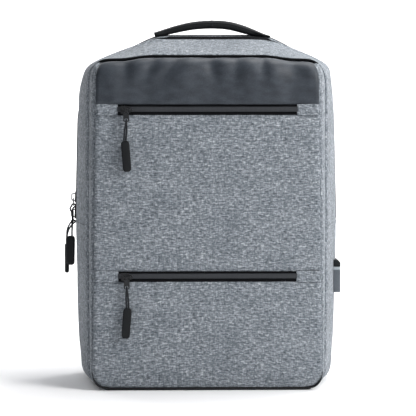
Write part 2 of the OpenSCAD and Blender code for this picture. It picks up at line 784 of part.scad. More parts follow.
module strap_anchors() {
    color(black_cloth) for (s = [-1, 1]) mirror([s < 0 ? 1 : 0, 0, 0])
        plate_xz(back_depth + 4 + clear, back_depth + 6.5)
            polygon([[pad_end[0] + 12 - 14, anchor_z + 18], [pad_end[0] + 12 + 14, anchor_z + 18],
                [pad_end[0] + 12 + 20, anchor_z - 8], [pad_end[0] + 12 - 20, anchor_z - 8]]);
}

module left_strap_pad() {
    mirror([1, 0, 0]) strap_pad();
}

module right_strap_pad() {
    strap_pad();
}

module left_webbing() {
    mirror([1, 0, 0]) webbing();
}

module right_webbing() {
    webbing();
}

module left_ladder_lock() {
    mirror([1, 0, 0]) ladder_lock();
}

module right_ladder_lock() {
    ladder_lock();
}

// ---- charging port ----
// The port stands on the right side. Its foot is a wedge that follows the cloth, so that its face is upright.
port_mid = port_z + port_h / 2;
port_x = side_x(port_mid, port_y) + clear;   // where the port's straight part starts
port_face = port_x + port_out;
cover_z = port_z + port_h - cover_h;
body_top = cover_z - clear;
socket_x = port_x + port_out / 2;
shell_w = 5.1;          // the socket shell's outer size across the thin way
shell_l = 13.1;         // and along
shell_depth = 14;

// The port's cross-section: two rounded outer corners, and a foot that lies on the seat.
module port_section() {
    r = 1.8;
    y0 = port_y - port_w / 2;
    y1 = port_y + port_w / 2;
    hull() {
        for (y = [y0 + r, y1 - r]) translate([port_face - r, y]) circle(r, $fn = 32);
        polygon([for (q = [[0, y0], [1, y0], [1, y1], [0, y1]])
            [seat_x(port_z + port_h, q[1]) + clear + q[0], q[1]]]);
    }
}

module port_housing() {
    h = body_top - port_z;
    color(plastic) difference() {
        translate([0, 0, port_z]) linear_extrude(h) port_section();
        translate([port_x - 1, port_y - port_w, port_z - 1])
            rotate([0, 45, 0]) translate([port_out + 0.6, 0, 0]) cube([4, 2 * port_w, 8]);
        translate([socket_x, port_y, body_top - shell_depth]) linear_extrude(shell_depth + 1)
            square([shell_w + 0.1, shell_l + 0.1], center = true);
    }
}

module port_cover() {
    color(black_cloth) difference() {
        translate([0, 0, cover_z]) linear_extrude(cover_h) port_section();
        translate([port_face, port_y - port_w, port_z + port_h - 3])
            rotate([0, -45, 0]) cube([8, 2 * port_w, 8]);
    }
}

module socket_shell() {
    color("silver") translate([socket_x, port_y, body_top - shell_depth]) linear_extrude(shell_depth - 0.1)
        difference() {
            square([shell_w, shell_l], center = true);
            square([shell_w - 0.6, shell_l - 0.6], center = true);
        }
}

module socket_tongue() {
    color("white") translate([socket_x, port_y, body_top - shell_depth]) {
        linear_extrude(2) square([shell_w - 0.8, shell_l - 0.8], center = true);
        translate([-0.8, -5.6, 1]) cube([1.4, 11.2, shell_depth - 3]);
    }
}

backplate_x = seat_x(port_z, port_y) - wall - 2 * clear;   // its outer face, flat behind the seat
screw_span = port_h - 12;

// The backplate's own frame: the middle of its outer face, turned to lie along the cloth.
module at_backplate() {
    translate([backplate_x, port_y, port_mid])
        rotate([0, 0, -atan2(seat_x(port_z, zip_y) - seat_x(port_z, seat_y), zip_y - seat_y)]) children();
}

module port_backplate() {
    color(plastic) at_backplate() difference() {
        plate_yz(-2, 0) rounded_square(port_w + 6, port_h, 3);
        translate([-3, 0, 0]) rotate([0, 90, 0]) cylinder(h = 4, r = 2.4, $fn = 32);
        for (s = [-1, 1]) translate([-3, 0, s * screw_span / 2])
            rotate([0, 90, 0]) cylinder(h = 4, r = 1.3, $fn = 32);
    }
}

// Small screws with flat heads, in the backplate's two holes, from inside the bag.
module port_screws() {
    color(metal) at_backplate() for (s = [-1, 1]) translate([-2, 0, s * screw_span / 2]) rotate([0, 90, 0]) {
        cylinder(h = 2, r = 1.2, $fn = 32);
        translate([0, 0, -1.2]) cylinder(h = 1.2, r = 2.3, $fn = 32);
    }
}

// The lead runs from the backplate down into the battery pocket, held along the bag's side.
lead_d = 3.4;
lead_x = backplate_x - 2;
pocket_mid = battery_x - battery_t / 2;
lead_path = smooth([[lead_x + 2, port_y, port_mid], [lead_x - 3, port_y, port_mid],
    [lead_x - 9, port_y, port_mid - 4],
    [pocket_mid + 2, port_y, port_mid - 13], [pocket_mid, port_y + 1, port_mid - 23],
    [pocket_mid, port_y + 1, port_mid - 34]], 3);
lead_end = lead_path[len(lead_path) - 1];

module charging_lead() {
    color(black_cloth) tube(lead_path, lead_d / 2, [0, 1, 0], 8);
}

module charging_plug() {
    color(plastic) translate([lead_end[0], lead_end[1], lead_end[2] - 20 - 0.1]) {
        linear_extrude(20) rounded_square(8, 15, 2);
        translate([0, 0, -11]) linear_extrude(11.5) square([4.5, 12], center = true);
    }
}

base_panel();
base_board();
lower_gusset();
rear_gusset();
upper_gusset();
fold_band();
back_panel();
back_pads();
lower_piping();
upper_piping();
top_panel();
middle_panel();
middle_panel_foot();
lower_panel();
upper_side_strips();
lower_side_strips();
upper_divider();
lower_divider();
pocket_floor();
laptop_sleeve();
battery_pocket();
upper_zip_chain();
upper_zip_tabs();
lower_zip_chain();
lower_zip_tabs();
main_zip_front_row();
main_zip_rear_row();
handle();
strap_yoke();
left_strap_pad();
right_strap_pad();
left_webbing();
right_webbing();
left_ladder_lock();
right_ladder_lock();
strap_anchors();
port_housing();
port_backplate();
port_cover();
socket_shell();
socket_tongue();
port_screws();
charging_lead();
charging_plug();
upper_pocket_slider();
upper_pocket_tab();
upper_pocket_cord();
upper_pocket_grip();
lower_pocket_slider();
lower_pocket_tab();
lower_pocket_cord();
lower_pocket_grip();
main_upper_slider();
main_upper_tab();
main_upper_cord();
main_upper_grip();
main_lower_slider();
main_lower_tab();
main_lower_cord();
main_lower_grip();
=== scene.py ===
"""A grey laptop backpack: sewn cloth shell, zips with cord pulls, handle, straps and a charging port."""

import math

import bmesh
import bpy
from mathutils import Matrix, Vector, noise


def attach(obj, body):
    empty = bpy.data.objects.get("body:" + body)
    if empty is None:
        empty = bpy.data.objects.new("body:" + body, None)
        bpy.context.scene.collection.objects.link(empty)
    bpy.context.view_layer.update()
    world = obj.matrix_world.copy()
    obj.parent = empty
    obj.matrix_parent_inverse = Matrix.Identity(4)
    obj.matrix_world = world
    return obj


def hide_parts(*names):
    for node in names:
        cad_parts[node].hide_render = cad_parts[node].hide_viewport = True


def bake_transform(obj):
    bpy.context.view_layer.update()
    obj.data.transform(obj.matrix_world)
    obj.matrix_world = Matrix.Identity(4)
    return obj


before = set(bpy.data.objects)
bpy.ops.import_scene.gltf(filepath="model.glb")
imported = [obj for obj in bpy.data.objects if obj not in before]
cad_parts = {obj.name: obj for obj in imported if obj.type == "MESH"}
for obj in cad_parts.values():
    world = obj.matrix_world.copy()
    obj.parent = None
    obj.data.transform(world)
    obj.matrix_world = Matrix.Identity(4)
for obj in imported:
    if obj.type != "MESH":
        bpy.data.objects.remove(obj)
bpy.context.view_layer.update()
bpy.ops.object.select_all(action="DESELECT")

MM = 0.001
scene = bpy.context.scene

# ---- sizes in millimetres, the same as in the part's source ----
HALF_W, FRONT_H, BODY_H = 150.0, 371.0, 395.0
FRONT_Y, PIPING_Y, ZIP_Y, BACK_Y = -63.0, -40.0, 37.0, 60.0
FRONT_W, TOP_FLAT, SHOULDER_Z = 133.5, 66.0, 345.0
FOLD_Z, FLOOR_Z, CORNER_W, CORNER_H = 182.0, 3.3, 14.0, 17.0
LEAN, SLOPE_H, PIPING_R = 3 / 110, 110.0, 1.4
PANEL_TOP, PANEL_FOOT, WINDOW_H, ZIP_L = 122.0, 127.5, 11.8, 198.0
UPPER_ZIP_Z, LOWER_ZIP_Z = 311.5, 127.3
TURN_Z, PANEL_CORNER_X = 333.5, 119.5
YOKE_Z, STRAP_Y, STRAP_X, STRAP_L = 361.0, 77.3, 62.0, 250.0


def clamp01(t):
    return max(0.0, min(1.0, t))


def mix(a, b, t):
    return a + (b - a) * t


def ease(low, high, value):
    t = clamp01((value - low) / (high - low))
    return t * t * (3 - 2 * t)


def smooth_curve(points, steps):
    """A Catmull-Rom curve through points of any dimension."""
    points = [Vector(p) for p in points]
    last = len(points) - 1
    out = []
    for i in range(last):
        a, b, c, d = (points[min(max(i + k, 0), last)] for k in (-1, 0, 1, 2))
        for s in range(steps):
            t = s / steps
            out.append(
                (2 * b + (c - a) * t + (2 * a - 5 * b + 4 * c - d) * t * t + (3 * b - a - 3 * c + d) * t**3) / 2
            )
    return out + [points[-1]]


def even(points, count):
    """The same open path as count points at equal steps along it."""
    marks = [0.0]
    for p, q in zip(points, points[1:]):
        marks.append(marks[-1] + (q - p).length)
    out, k = [], 0
    for i in range(count):
        want = marks[-1] * i / (count - 1)
        while k < len(points) - 2 and marks[k + 1] < want:
            k += 1
        span = marks[k + 1] - marks[k] or 1.0
        out.append(points[k].lerp(points[k + 1], clamp01((want - marks[k]) / span)))
    return out


def ripple(point, size, seed=0.0):
    """Smooth bumps from -1 to 1, about size mm apart, the same every run."""
    return noise.noise(Vector(point) / size + Vector((seed, seed * 1.7, -seed)))


# ---- the bag's outline ----
def depth_share(y):
    return clamp01((y - PIPING_Y) / (ZIP_Y - PIPING_Y))


def edge_w(y):
    return mix(FRONT_W, HALF_W, math.sin(math.pi / 2 * depth_share(y))) - 4.5 * clamp01(
        (y - ZIP_Y) / (BACK_Y - ZIP_Y)
    )


def top_z(y):
    if y < ZIP_Y:
        return mix(FRONT_H, BODY_H - 3, depth_share(y))
    return mix(BODY_H - 3, BODY_H, clamp01((y - ZIP_Y) / (BACK_Y - ZIP_Y)))


def side_x(z, y):
    if z < FOLD_Z:
        pull = 7 * ((FOLD_Z - z) / FOLD_Z) ** 2
    else:
        high = max(0.0, (z - FOLD_Z - SLOPE_H) / (SHOULDER_Z - FOLD_Z - SLOPE_H))
        pull = LEAN * (z - FOLD_Z) + 5 * high**2
    return edge_w(y) - mix(0.15, 1, depth_share(y)) * pull


def shoulder(y, steps=8):
    """Right half of the top at depth y, as (x, z) from the side's end to the middle."""
    x, h = side_x(SHOULDER_Z, y), top_z(y)
    cx, cz = x - 17, SHOULDER_Z + 21
    return smooth_curve(
        [
            (x, SHOULDER_Z),
            (x - 4, SHOULDER_Z + 12),
            (cx, cz),
            ((cx + TOP_FLAT) / 2, cz + (h - 2 - cz) * 0.55),
            (TOP_FLAT, h - mix(0.2, 2, depth_share(y))),
            (TOP_FLAT - 20, h),
            (0, h),
        ],
        steps,
    )


def mirrored(half):
    """A whole outline from a right half that ends in the middle, left end first."""
    return [Vector((-p[0], p[1])) for p in half] + list(reversed(half[:-1]))


def over_top(y, z0, side_steps=34):
    side = [Vector((side_x(z, y), z)) for z in (mix(z0, SHOULDER_Z, i / side_steps) for i in range(side_steps))]
    return mirrored(side + shoulder(y))


def under_base(y, z1, side_steps=34, base_steps=14):
    z0 = FLOOR_Z + CORNER_H
    x = side_x(z0, y)
    side = [Vector((side_x(z, y), z)) for z in (mix(z1, z0, i / side_steps) for i in range(side_steps + 1))]
    turns = [math.radians(15 * k) for k in range(1, 7)]
    corner = [Vector((x - CORNER_W * (1 - math.cos(a)), z0 - CORNER_H * math.sin(a))) for a in turns]
    base = [Vector((corner[-1].x * (1 - k / base_steps), FLOOR_Z)) for k in range(1, base_steps + 1)]
    return mirrored(side + corner + base)


def corner_cut(z):
    s = clamp01((FLOOR_Z + CORNER_H - z) / CORNER_H)
    return CORNER_W * (1 - math.sqrt(1 - s * s))


def panel_x(z):
    return mix(PANEL_FOOT, PANEL_TOP, z / SHOULDER_Z) - corner_cut(z)


def front_y(z):
    return FRONT_Y + 4 * max(0.0, 1 - z / 30) ** 2


piping_half = shoulder(PIPING_Y, 16)


def piping_z(x):
    """Height of the piping's middle line over half width x."""
    x = abs(x)
    for p, q in zip(piping_half, piping_half[1:]):
        if q.x <= x <= p.x:
            return mix(p.y, q.y, (p.x - x) / max(p.x - q.x, 1e-9))
    return piping_half[-1].y


def skew(p):
    """The top of the back leans a little to one side."""
    return Vector((p[0] + 7 * ease(330, 395, p[2]) * ease(-40, 60, p[1]), p[1], p[2]))


# ---- colour and materials ----
def linear(hex_colour):
    parts = [int(hex_colour[i : i + 2], 16) / 255 for i in (1, 3, 5)]
    return tuple(c / 12.92 if c <= 0.04045 else ((c + 0.055) / 1.055) ** 2.4 for c in parts) + (1.0,)


def add(tree, kind, settings=None, **links):
    """Adds a node: settings go to its sockets by name or number, or else to its properties; links join sockets."""
    node = tree.nodes.new(kind)
    for key, value in (settings or {}).items():
        if isinstance(key, int):
            node.inputs[key].default_value = value
        elif key in node.inputs.keys():
            node.inputs[key].default_value = value
        else:
            setattr(node, key, value)
    for key, source in links.items():
        spot = int(key[1:]) if key[0] == "i" and key[1:].isdigit() else key.replace("_", " ")
        tree.links.new(source, node.inputs[spot])
    return node


def ramp(tree, factor, stops):
    node = add(tree, "ShaderNodeValToRGB", Fac=factor)
    band = node.color_ramp
    while len(band.elements) < len(stops):
        band.elements.new(0.5)
    for element, (place, colour) in zip(band.elements, stops):
        element.position = place
        element.color = linear(colour)
    return node.outputs["Color"]


def shader(name, **sockets):
    """A new material with its Principled shader's uniform values set."""
    material = bpy.data.materials.new(name)
    material.use_nodes = True
    tree = material.node_tree
    tree.nodes.clear()
    principled = add(tree, "ShaderNodeBsdfPrincipled", {k.replace("_", " "): v for k, v in sockets.items()})
    add(tree, "ShaderNodeOutputMaterial", Surface=principled.outputs[0])
    return material, tree, principled


def mapped(tree, source, scale, place=(0, 0, 0), turn=0.0):
    coords = add(tree, "ShaderNodeTexCoord")
    return add(
        tree,
        "ShaderNodeMapping",
        {"Scale": scale, "Location": place, "Rotation": (0, 0, turn)},
        Vector=coords.outputs[source],
    ).outputs[0]


def per_mm(u, v, w=1.0):
    """Mapping scale for a pattern that repeats every u by v mm on coordinates in metres."""
    return (1000 / u, 1000 / v, 1000 / w)


def bump(tree, height, strength, distance_mm, under=None):
    node = add(tree, "ShaderNodeBump", {"Strength": strength, "Distance": distance_mm * MM}, Height=height)
    if under is not None:
        tree.links.new(under, node.inputs["Normal"])
    return node.outputs[0]


def math_node(tree, operation, first, second):
    node = add(tree, "ShaderNodeMath", {"operation": operation})
    for socket, value in zip(node.inputs, (first, second)):
        if isinstance(value, (int, float)):
            socket.default_value = value
        else:
            tree.links.new(value, socket)
    return node.outputs[0]


def weave_height(tree, source, pitch):
    """Crossing rounded threads, one pitch in mm apart."""
    heights = []
    for direction in ("X", "Y"):
        wave = add(
            tree,
            "ShaderNodeTexWave",
            {"wave_type": "BANDS", "bands_direction": direction, "Scale": 1.0, "Distortion": 0.6, "Detail": 1.0},
            Vector=mapped(tree, source, per_mm(pitch * 6.28 / 2, pitch * 6.28 / 2)),
        )
        heights.append(wave.outputs["Fac"])
    return math_node(tree, "MULTIPLY", heights[0], heights[1])


def melange_canvas():
    """Cationic-dyed polyester canvas: the light and dark yarns take dye unevenly, so the weft shows as short
    streaks. The real threads are 0.4 mm apart; the streaks are drawn 4 by 1.5 mm so that they show."""
    material, tree, principled = shader("melange_polyester_canvas", Roughness=0.9, Sheen_Weight=0.1,
                                        Sheen_Roughness=0.5, Specular_IOR_Level=0.15)
    streaks = add(tree, "ShaderNodeTexNoise", {"Scale": 1.0, "Detail": 2.0, "Roughness": 0.62},
                  Vector=mapped(tree, "UV", per_mm(4.2, 1.5))).outputs["Fac"]
    slubs = add(tree, "ShaderNodeTexNoise", {"Scale": 1.0, "Detail": 1.0, "Roughness": 0.5},
                Vector=mapped(tree, "UV", per_mm(9, 2.2), (3, 7, 0))).outputs["Fac"]
    warp = add(tree, "ShaderNodeTexNoise", {"Scale": 1.0, "Detail": 2.0, "Roughness": 0.6},
               Vector=mapped(tree, "UV", per_mm(1.6, 4.6), (9, 2, 0))).outputs["Fac"]
    both = math_node(tree, "ADD", math_node(tree, "MULTIPLY", streaks, 0.5),
                     math_node(tree, "ADD", math_node(tree, "MULTIPLY", slubs, 0.22),
                               math_node(tree, "MULTIPLY", warp, 0.28)))
    yarn = ramp(tree, both, [(0.36, "#4c5258"), (0.45, "#6b7177"), (0.51, "#80868c"), (0.57, "#9a9fa5"),
                             (0.66, "#c9cdd1")])
    cloud = add(tree, "ShaderNodeTexNoise", {"Scale": 1.0, "Detail": 2.0},
                Vector=mapped(tree, "UV", per_mm(38, 22), (1, 5, 0))).outputs["Fac"]
    tone = ramp(tree, cloud, [(0.3, "#e2e4e6"), (0.7, "#ffffff")])
    colour = add(tree, "ShaderNodeMix", {"data_type": "RGBA", "blend_type": "MULTIPLY", 0: 1.0}, i6=yarn, i7=tone)
    tree.links.new(colour.outputs[2], principled.inputs["Base Color"])
    threads = bump(tree, weave_height(tree, "UV", 1.1), 0.35, 0.25)
    rough = bump(tree, both, 0.4, 0.5, threads)
    tree.links.new(rough, principled.inputs["Normal"])
    return material


def slate_twill():
    """Tightly woven slate polyester with a calendered face: smoother, and it catches soft light on its folds.
    The real rib is 0.3 mm; it is drawn at 0.9 mm."""
    material, tree, principled = shader("slate_calendered_polyester", Roughness=0.5, Specular_IOR_Level=0.28)
    cloud = add(tree, "ShaderNodeTexNoise", {"Scale": 1.0, "Detail": 3.0},
                Vector=mapped(tree, "UV", per_mm(16, 9))).outputs["Fac"]
    speck = add(tree, "ShaderNodeTexNoise", {"Scale": 1.0, "Detail": 1.0},
                Vector=mapped(tree, "UV", per_mm(1.2, 1.0))).outputs["Fac"]
    both = math_node(tree, "ADD", math_node(tree, "MULTIPLY", cloud, 0.6), math_node(tree, "MULTIPLY", speck, 0.4))
    colour = ramp(tree, both, [(0.35, "#2a2f35"), (0.5, "#33383f"), (0.66, "#3d434a")])
    tree.links.new(colour, principled.inputs["Base Color"])
    tree.links.new(bump(tree, weave_height(tree, "UV", 0.9), 0.25, 0.15), principled.inputs["Normal"])
    return material


def plain_cloth(name, dark, light, pitch, roughness, source="UV"):
    """Plain-woven nylon or polyester: even threads with a faint cloudiness from wear."""
    material, tree, principled = shader(name, Roughness=roughness, Sheen_Weight=0.2, Sheen_Roughness=0.5,
                                        Specular_IOR_Level=0.3)
    cloud = add(tree, "ShaderNodeTexNoise", {"Scale": 1.0, "Detail": 3.0},
                Vector=mapped(tree, source, per_mm(14, 8, 8))).outputs["Fac"]
    tree.links.new(ramp(tree, cloud, [(0.3, dark), (0.7, light)]), principled.inputs["Base Color"])
    tree.links.new(bump(tree, weave_height(tree, source, pitch), 0.4, 0.3), principled.inputs["Normal"])
    return material


def air_mesh():
    """Knitted spacer mesh: round holes 3.2 mm apart in a matt black face, over a darker core."""
    material, tree, principled = shader("knitted_spacer_mesh", Roughness=0.85, Sheen_Weight=0.2,
                                        Sheen_Roughness=0.5, Specular_IOR_Level=0.25)
    cells = add(tree, "ShaderNodeTexVoronoi", {"Scale": 1.0, "Randomness": 0.15},
                Vector=mapped(tree, "UV", per_mm(3.2, 3.2), turn=math.pi / 4)).outputs["Distance"]
    colour = ramp(tree, cells, [(0.16, "#0b0c0e"), (0.3, "#24272b"), (0.6, "#33373c")])
    tree.links.new(colour, principled.inputs["Base Color"])
    tree.links.new(bump(tree, cells, 0.8, 1.0), principled.inputs["Normal"])
    return material


def webbing_material():
    """Polypropylene webbing: fine ribs along its length, crossed by the weave's rows 2.2 mm apart."""
    material, tree, principled = shader("ribbed_polypropylene_webbing", Roughness=0.6, Sheen_Weight=0.05,
                                        Sheen_Roughness=0.4, Specular_IOR_Level=0.2)
    ribs = add(tree, "ShaderNodeTexWave", {"bands_direction": "Y", "Scale": 1.0, "Distortion": 0.3},
               Vector=mapped(tree, "UV", per_mm(6.9, 6.9))).outputs["Fac"]
    rows = add(tree, "ShaderNodeTexWave", {"bands_direction": "X", "Scale": 1.0, "Distortion": 0.8},
               Vector=mapped(tree, "UV", per_mm(5.5, 5.5))).outputs["Fac"]
    both = math_node(tree, "ADD", math_node(tree, "MULTIPLY", ribs, 0.6), math_node(tree, "MULTIPLY", rows, 0.4))
    tree.links.new(ramp(tree, both, [(0.2, "#0c0d0f"), (0.8, "#1d2023")]), principled.inputs["Base Color"])
    tree.links.new(bump(tree, both, 0.6, 0.5), principled.inputs["Normal"])
    return material


def zip_tape():
    """Woven polyester zip tape, matt black with a fine rib across it."""
    material, tree, principled = shader("woven_zip_tape", Roughness=0.85, Specular_IOR_Level=0.1)
    ribs = add(tree, "ShaderNodeTexWave", {"bands_direction": "X", "Scale": 1.0, "Distortion": 0.4},
               Vector=mapped(tree, "UV", per_mm(3.4, 3.4))).outputs["Fac"]
    tree.links.new(ramp(tree, ribs, [(0.1, "#08090b"), (0.9, "#121417")]), principled.inputs["Base Color"])
    tree.links.new(bump(tree, ribs, 0.4, 0.3), principled.inputs["Normal"])
    return material


def coated_tape():
    """Polyurethane-coated face of a reversed-coil zip: charcoal, half matt, with the coil's turns pressed
    faintly through it every 1.4 mm."""
    material, tree, principled = shader("polyurethane_coated_zip", Roughness=0.55, Specular_IOR_Level=0.25)
    coil = add(tree, "ShaderNodeTexWave", {"bands_direction": "X", "Scale": 1.0, "Distortion": 0.2},
               Vector=mapped(tree, "UV", per_mm(4.4, 4.4))).outputs["Fac"]
    tree.links.new(ramp(tree, coil, [(0.0, "#2c2e31"), (1.0, "#37393d")]), principled.inputs["Base Color"])
    tree.links.new(bump(tree, coil, 0.3, 0.25), principled.inputs["Normal"])
    return material


def braid():
    """Round braided polyester cord: strands that cross every 2 mm."""
    material, tree, principled = shader("braided_polyester_cord", Roughness=0.7, Sheen_Weight=0.05,
                                        Specular_IOR_Level=0.15)
    heights = []
    for turn in (0.7, -0.7):
        wave = add(tree, "ShaderNodeTexWave", {"bands_direction": "X", "Scale": 1.0},
                   Vector=mapped(tree, "UV", per_mm(4.5, 4.5), turn=turn)).outputs["Fac"]
        heights.append(wave)
    both = math_node(tree, "MAXIMUM", heights[0], heights[1])
    tree.links.new(ramp(tree, both, [(0.2, "#0c0d0f"), (0.95, "#24272b")]), principled.inputs["Base Color"])
    tree.links.new(bump(tree, both, 0.6, 0.3), principled.inputs["Normal"])
    return material


def moulded(name, dark, light, roughness, grain_mm, source="Object", level=0.5):
    """Moulded plastic or rubber, or lacquer, with a fine grain and a little handling wear in its gloss."""
    material, tree, principled = shader(name, Specular_IOR_Level=level)
    grain = add(tree, "ShaderNodeTexNoise", {"Scale": 1.0, "Detail": 3.0, "Roughness": 0.6},
                Vector=mapped(tree, source, per_mm(grain_mm, grain_mm, grain_mm))).outputs["Fac"]
    wear = add(tree, "ShaderNodeTexNoise", {"Scale": 1.0, "Detail": 3.0},
               Vector=mapped(tree, source, per_mm(9, 9, 9), (4, 1, 2))).outputs["Fac"]
    tree.links.new(ramp(tree, grain, [(0.3, dark), (0.7, light)]), principled.inputs["Base Color"])
    rough = add(tree, "ShaderNodeMapRange", {"To Min": roughness - 0.08, "To Max": roughness + 0.1}, Value=wear)
    tree.links.new(rough.outputs[0], principled.inputs["Roughness"])
    tree.links.new(bump(tree, grain, 0.25, 0.12), principled.inputs["Normal"])
    return material


def metal(name, dark, light, roughness):
    """Plated steel: faint tumbling marks, worn brighter in places."""
    material, tree, principled = shader(name, Metallic=1.0)
    marks = add(tree, "ShaderNodeTexNoise", {"Scale": 1.0, "Detail": 4.0, "Roughness": 0.65},
                Vector=mapped(tree, "Object", per_mm(1.6, 1.6, 1.6))).outputs["Fac"]
    tree.links.new(ramp(tree, marks, [(0.35, dark), (0.72, light)]), principled.inputs["Base Color"])
    rough = add(tree, "ShaderNodeMapRange", {"To Min": roughness - 0.08, "To Max": roughness + 0.14}, Value=marks)
    tree.links.new(rough.outputs[0], principled.inputs["Roughness"])
    tree.links.new(bump(tree, marks, 0.2, 0.08), principled.inputs["Normal"])
    return material


CANVAS = melange_canvas()
SLATE = slate_twill()
BLACK_CLOTH = plain_cloth("black_oxford_nylon", "#15171a", "#202327", 1.1, 0.8)
LINING = plain_cloth("charcoal_taffeta_lining", "#24272c", "#30343a", 0.8, 0.6)
MESH = air_mesh()
WEBBING = webbing_material()
ZIP_BLACK = zip_tape()
ZIP_COATED = coated_tape()
BRAID = braid()
GRIP_RUBBER = moulded("moulded_pvc_rubber", "#0e1012", "#15181b", 0.5, 0.9, level=0.2)
ABS = moulded("textured_black_abs", "#141618", "#1c1f22", 0.45, 0.7, level=0.3)
PORT_ABS = moulded("grey_abs_port_housing", "#474d54", "#565c63", 0.42, 0.8)
# A lighter grey for the port housing's top 3 mm: a painted highlight on the housing's step.
PORT_PAINTED_HIGHLIGHT = moulded("abs_rim_painted_highlight", "#8e959b", "#a1a8ae", 0.35, 0.8)
COVER_TPE = moulded("soft_tpe_cover", "#121416", "#181b1e", 0.6, 0.8, level=0.2)
LACQUER = moulded("black_lacquered_zinc", "#101113", "#1b1d20", 0.32, 1.6, level=0.4)
NICKEL = metal("nickel_plated_steel", "#a9a8a4", "#c9c8c4", 0.24)
TONGUE = moulded("white_lcp_insulator", "#d6d6d2", "#e6e6e2", 0.4, 0.9)


# ---- making meshes ----
def linked(name, mesh):
    """A new object that holds the mesh, in the scene."""
    piece = bpy.data.objects.new(name, mesh)
    scene.collection.objects.link(piece)
    return piece


def take_up(*pieces):
    """Selects these pieces and nothing else, with the first one active."""
    bpy.ops.object.select_all(action="DESELECT")
    for piece in pieces:
        piece.select_set(True)
    bpy.context.view_layer.objects.active = pieces[0]


def finished(name, mesh, materials, body, replaces=(), blended=False, stop_deg=50):
    """Puts a mesh in the scene as a piece: smooth, with its materials and its body, and hides the CAD parts that it
    replaces.
    """
    piece = linked(name, mesh)
    if not mesh.materials:
        for material in materials if isinstance(materials, (list, tuple)) else [materials]:
            mesh.materials.append(material)
    take_up(piece)
    bpy.ops.object.shade_smooth_by_angle(angle=math.radians(stop_deg))
    if blended:
        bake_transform(piece)
    else:
        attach(piece, body)
    if replaces:
        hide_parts(*replaces)
    return piece


def outward(rows, away):
    """Unit normals of a grid of points, and 1 or -1 for the way its faces wind, so that they face from away."""
    last_i, last_j = len(rows) - 1, len(rows[0]) - 1
    lines, total = [], 0.0
    for i, row in enumerate(rows):
        line = []
        for j, p in enumerate(row):
            along = row[min(j + 1, last_j)] - row[max(j - 1, 0)]
            across = rows[min(i + 1, last_i)][j] - rows[max(i - 1, 0)][j]
            normal = along.cross(across).normalized()
            total += normal.dot(p - away)
            line.append(normal)
        lines.append(line)
    sign = 1 if total > 0 else -1
    return [[n * sign for n in line] for line in lines], sign


def lay_cloth(mesh, uvs, slots):
    """Writes the UVs, in metres along the cloth, and each face's material slot."""
    layer = mesh.uv_layers.new(name="cloth")
    for loop, uv in zip(layer.data, uvs):
        loop.uv = uv
    for polygon, slot in zip(mesh.polygons, slots):
        polygon.material_index = slot


def sheet_mesh(name, parts, rise=None, away=(0, 0, 190), thick=1.2, slot_of=None):
    """A cloth mesh of one or more grids of points in mm. rise(u, v, point) moves each point outwards in mm;
    u and v run from 0 to 1 along a row and over the rows. UVs are in metres along the cloth."""
    mesh = bpy.data.meshes.new(name)
    points, faces, uvs, slots = [], [], [], []
    for rows in parts:
        rows = [[Vector(p) for p in row] for row in rows]
        normals, sign = outward(rows, Vector(away))
        n, m, first = len(rows), len(rows[0]), len(points)
        across = [[0.0] * m for _ in range(n)]
        along = [[0.0] * m for _ in range(n)]
        for i in range(n):
            for j in range(m):
                if j:
                    along[i][j] = along[i][j - 1] + (rows[i][j] - rows[i][j - 1]).length
                if i:
                    across[i][j] = across[i - 1][j] + (rows[i][j] - rows[i - 1][j]).length
        for i in range(n):
            for j in range(m):
                lift = rise(j / (m - 1), i / (n - 1), rows[i][j]) if rise else 0.0
                points.append(skew(rows[i][j] + normals[i][j] * lift) * MM)
        for i in range(n - 1):
            for j in range(m - 1):
                spots = [(i, j), (i, j + 1), (i + 1, j + 1), (i + 1, j)]
                if sign < 0:
                    spots.reverse()
                faces.append([first + a * m + b for a, b in spots])
                uvs += [((along[a][b] - along[a][-1] / 2) * MM, across[a][b] * MM) for a, b in spots]
                slots.append(slot_of(j / (m - 1), i / (n - 1), rows[i][j]) if slot_of else 0)
    mesh.from_pydata(points, [], faces)
    lay_cloth(mesh, uvs, slots)
    return thickened(mesh, thick)


def thickened(mesh, thick):
    """Gives a sheet its wall, inwards from its face."""
    holder = linked("holder", mesh)
    take_up(holder)
    wall = holder.modifiers.new("wall", "SOLIDIFY")
    wall.thickness, wall.offset = thick * MM, -1.0
    bpy.ops.object.modifier_apply(modifier="wall")
    mesh = holder.data
    bpy.data.objects.remove(holder)
    return mesh


def ring_mesh(name, rings, closed=False, slot_of=None, leans=True):
    """A closed mesh through rings of points in mm, with flat ends unless it is closed on itself."""
    mesh = bpy.data.meshes.new(name)
    n, m = len(rings), len(rings[0])
    points = [(skew(p) if leans else Vector(p)) * MM for ring in rings for p in ring]
    marks = [0.0]
    for a, b in zip(rings, rings[1:]):
        marks.append(marks[-1] + (Vector(b[0]) - Vector(a[0])).length * MM)
    girth = [0.0]
    for k in range(m):
        girth.append(girth[-1] + (Vector(rings[n // 2][(k + 1) % m]) - Vector(rings[n // 2][k])).length * MM)
    faces, uvs, slots = [], [], []
    for i in range(n if closed else n - 1):
        for k in range(m):
            a, b = i, (i + 1) % n
            faces.append([a * m + k, b * m + k, b * m + (k + 1) % m, a * m + (k + 1) % m])
            far = marks[i + 1] if i + 1 < n else marks[i] + 0.001
            uvs += [(marks[i], girth[k]), (far, girth[k]), (far, girth[k + 1]), (marks[i], girth[k + 1])]
            slots.append(slot_of(i / (n - 1), Vector(rings[i][k])) if slot_of else 0)
    if not closed:
        for i in (0, n - 1):
            faces.append([i * m + k for k in range(m)])
            uvs += [(p[0] * MM, p[1] * MM + p[2] * MM) for p in rings[i]]
            slots.append(slots[0 if i == 0 else -1])
    mesh.from_pydata(points, [], faces)
    lay_cloth(mesh, uvs, slots)
    shell = bmesh.new()
    shell.from_mesh(mesh)
    bmesh.ops.recalc_face_normals(shell, faces=shell.faces)
    shell.to_mesh(mesh)
    shell.free()
    return mesh


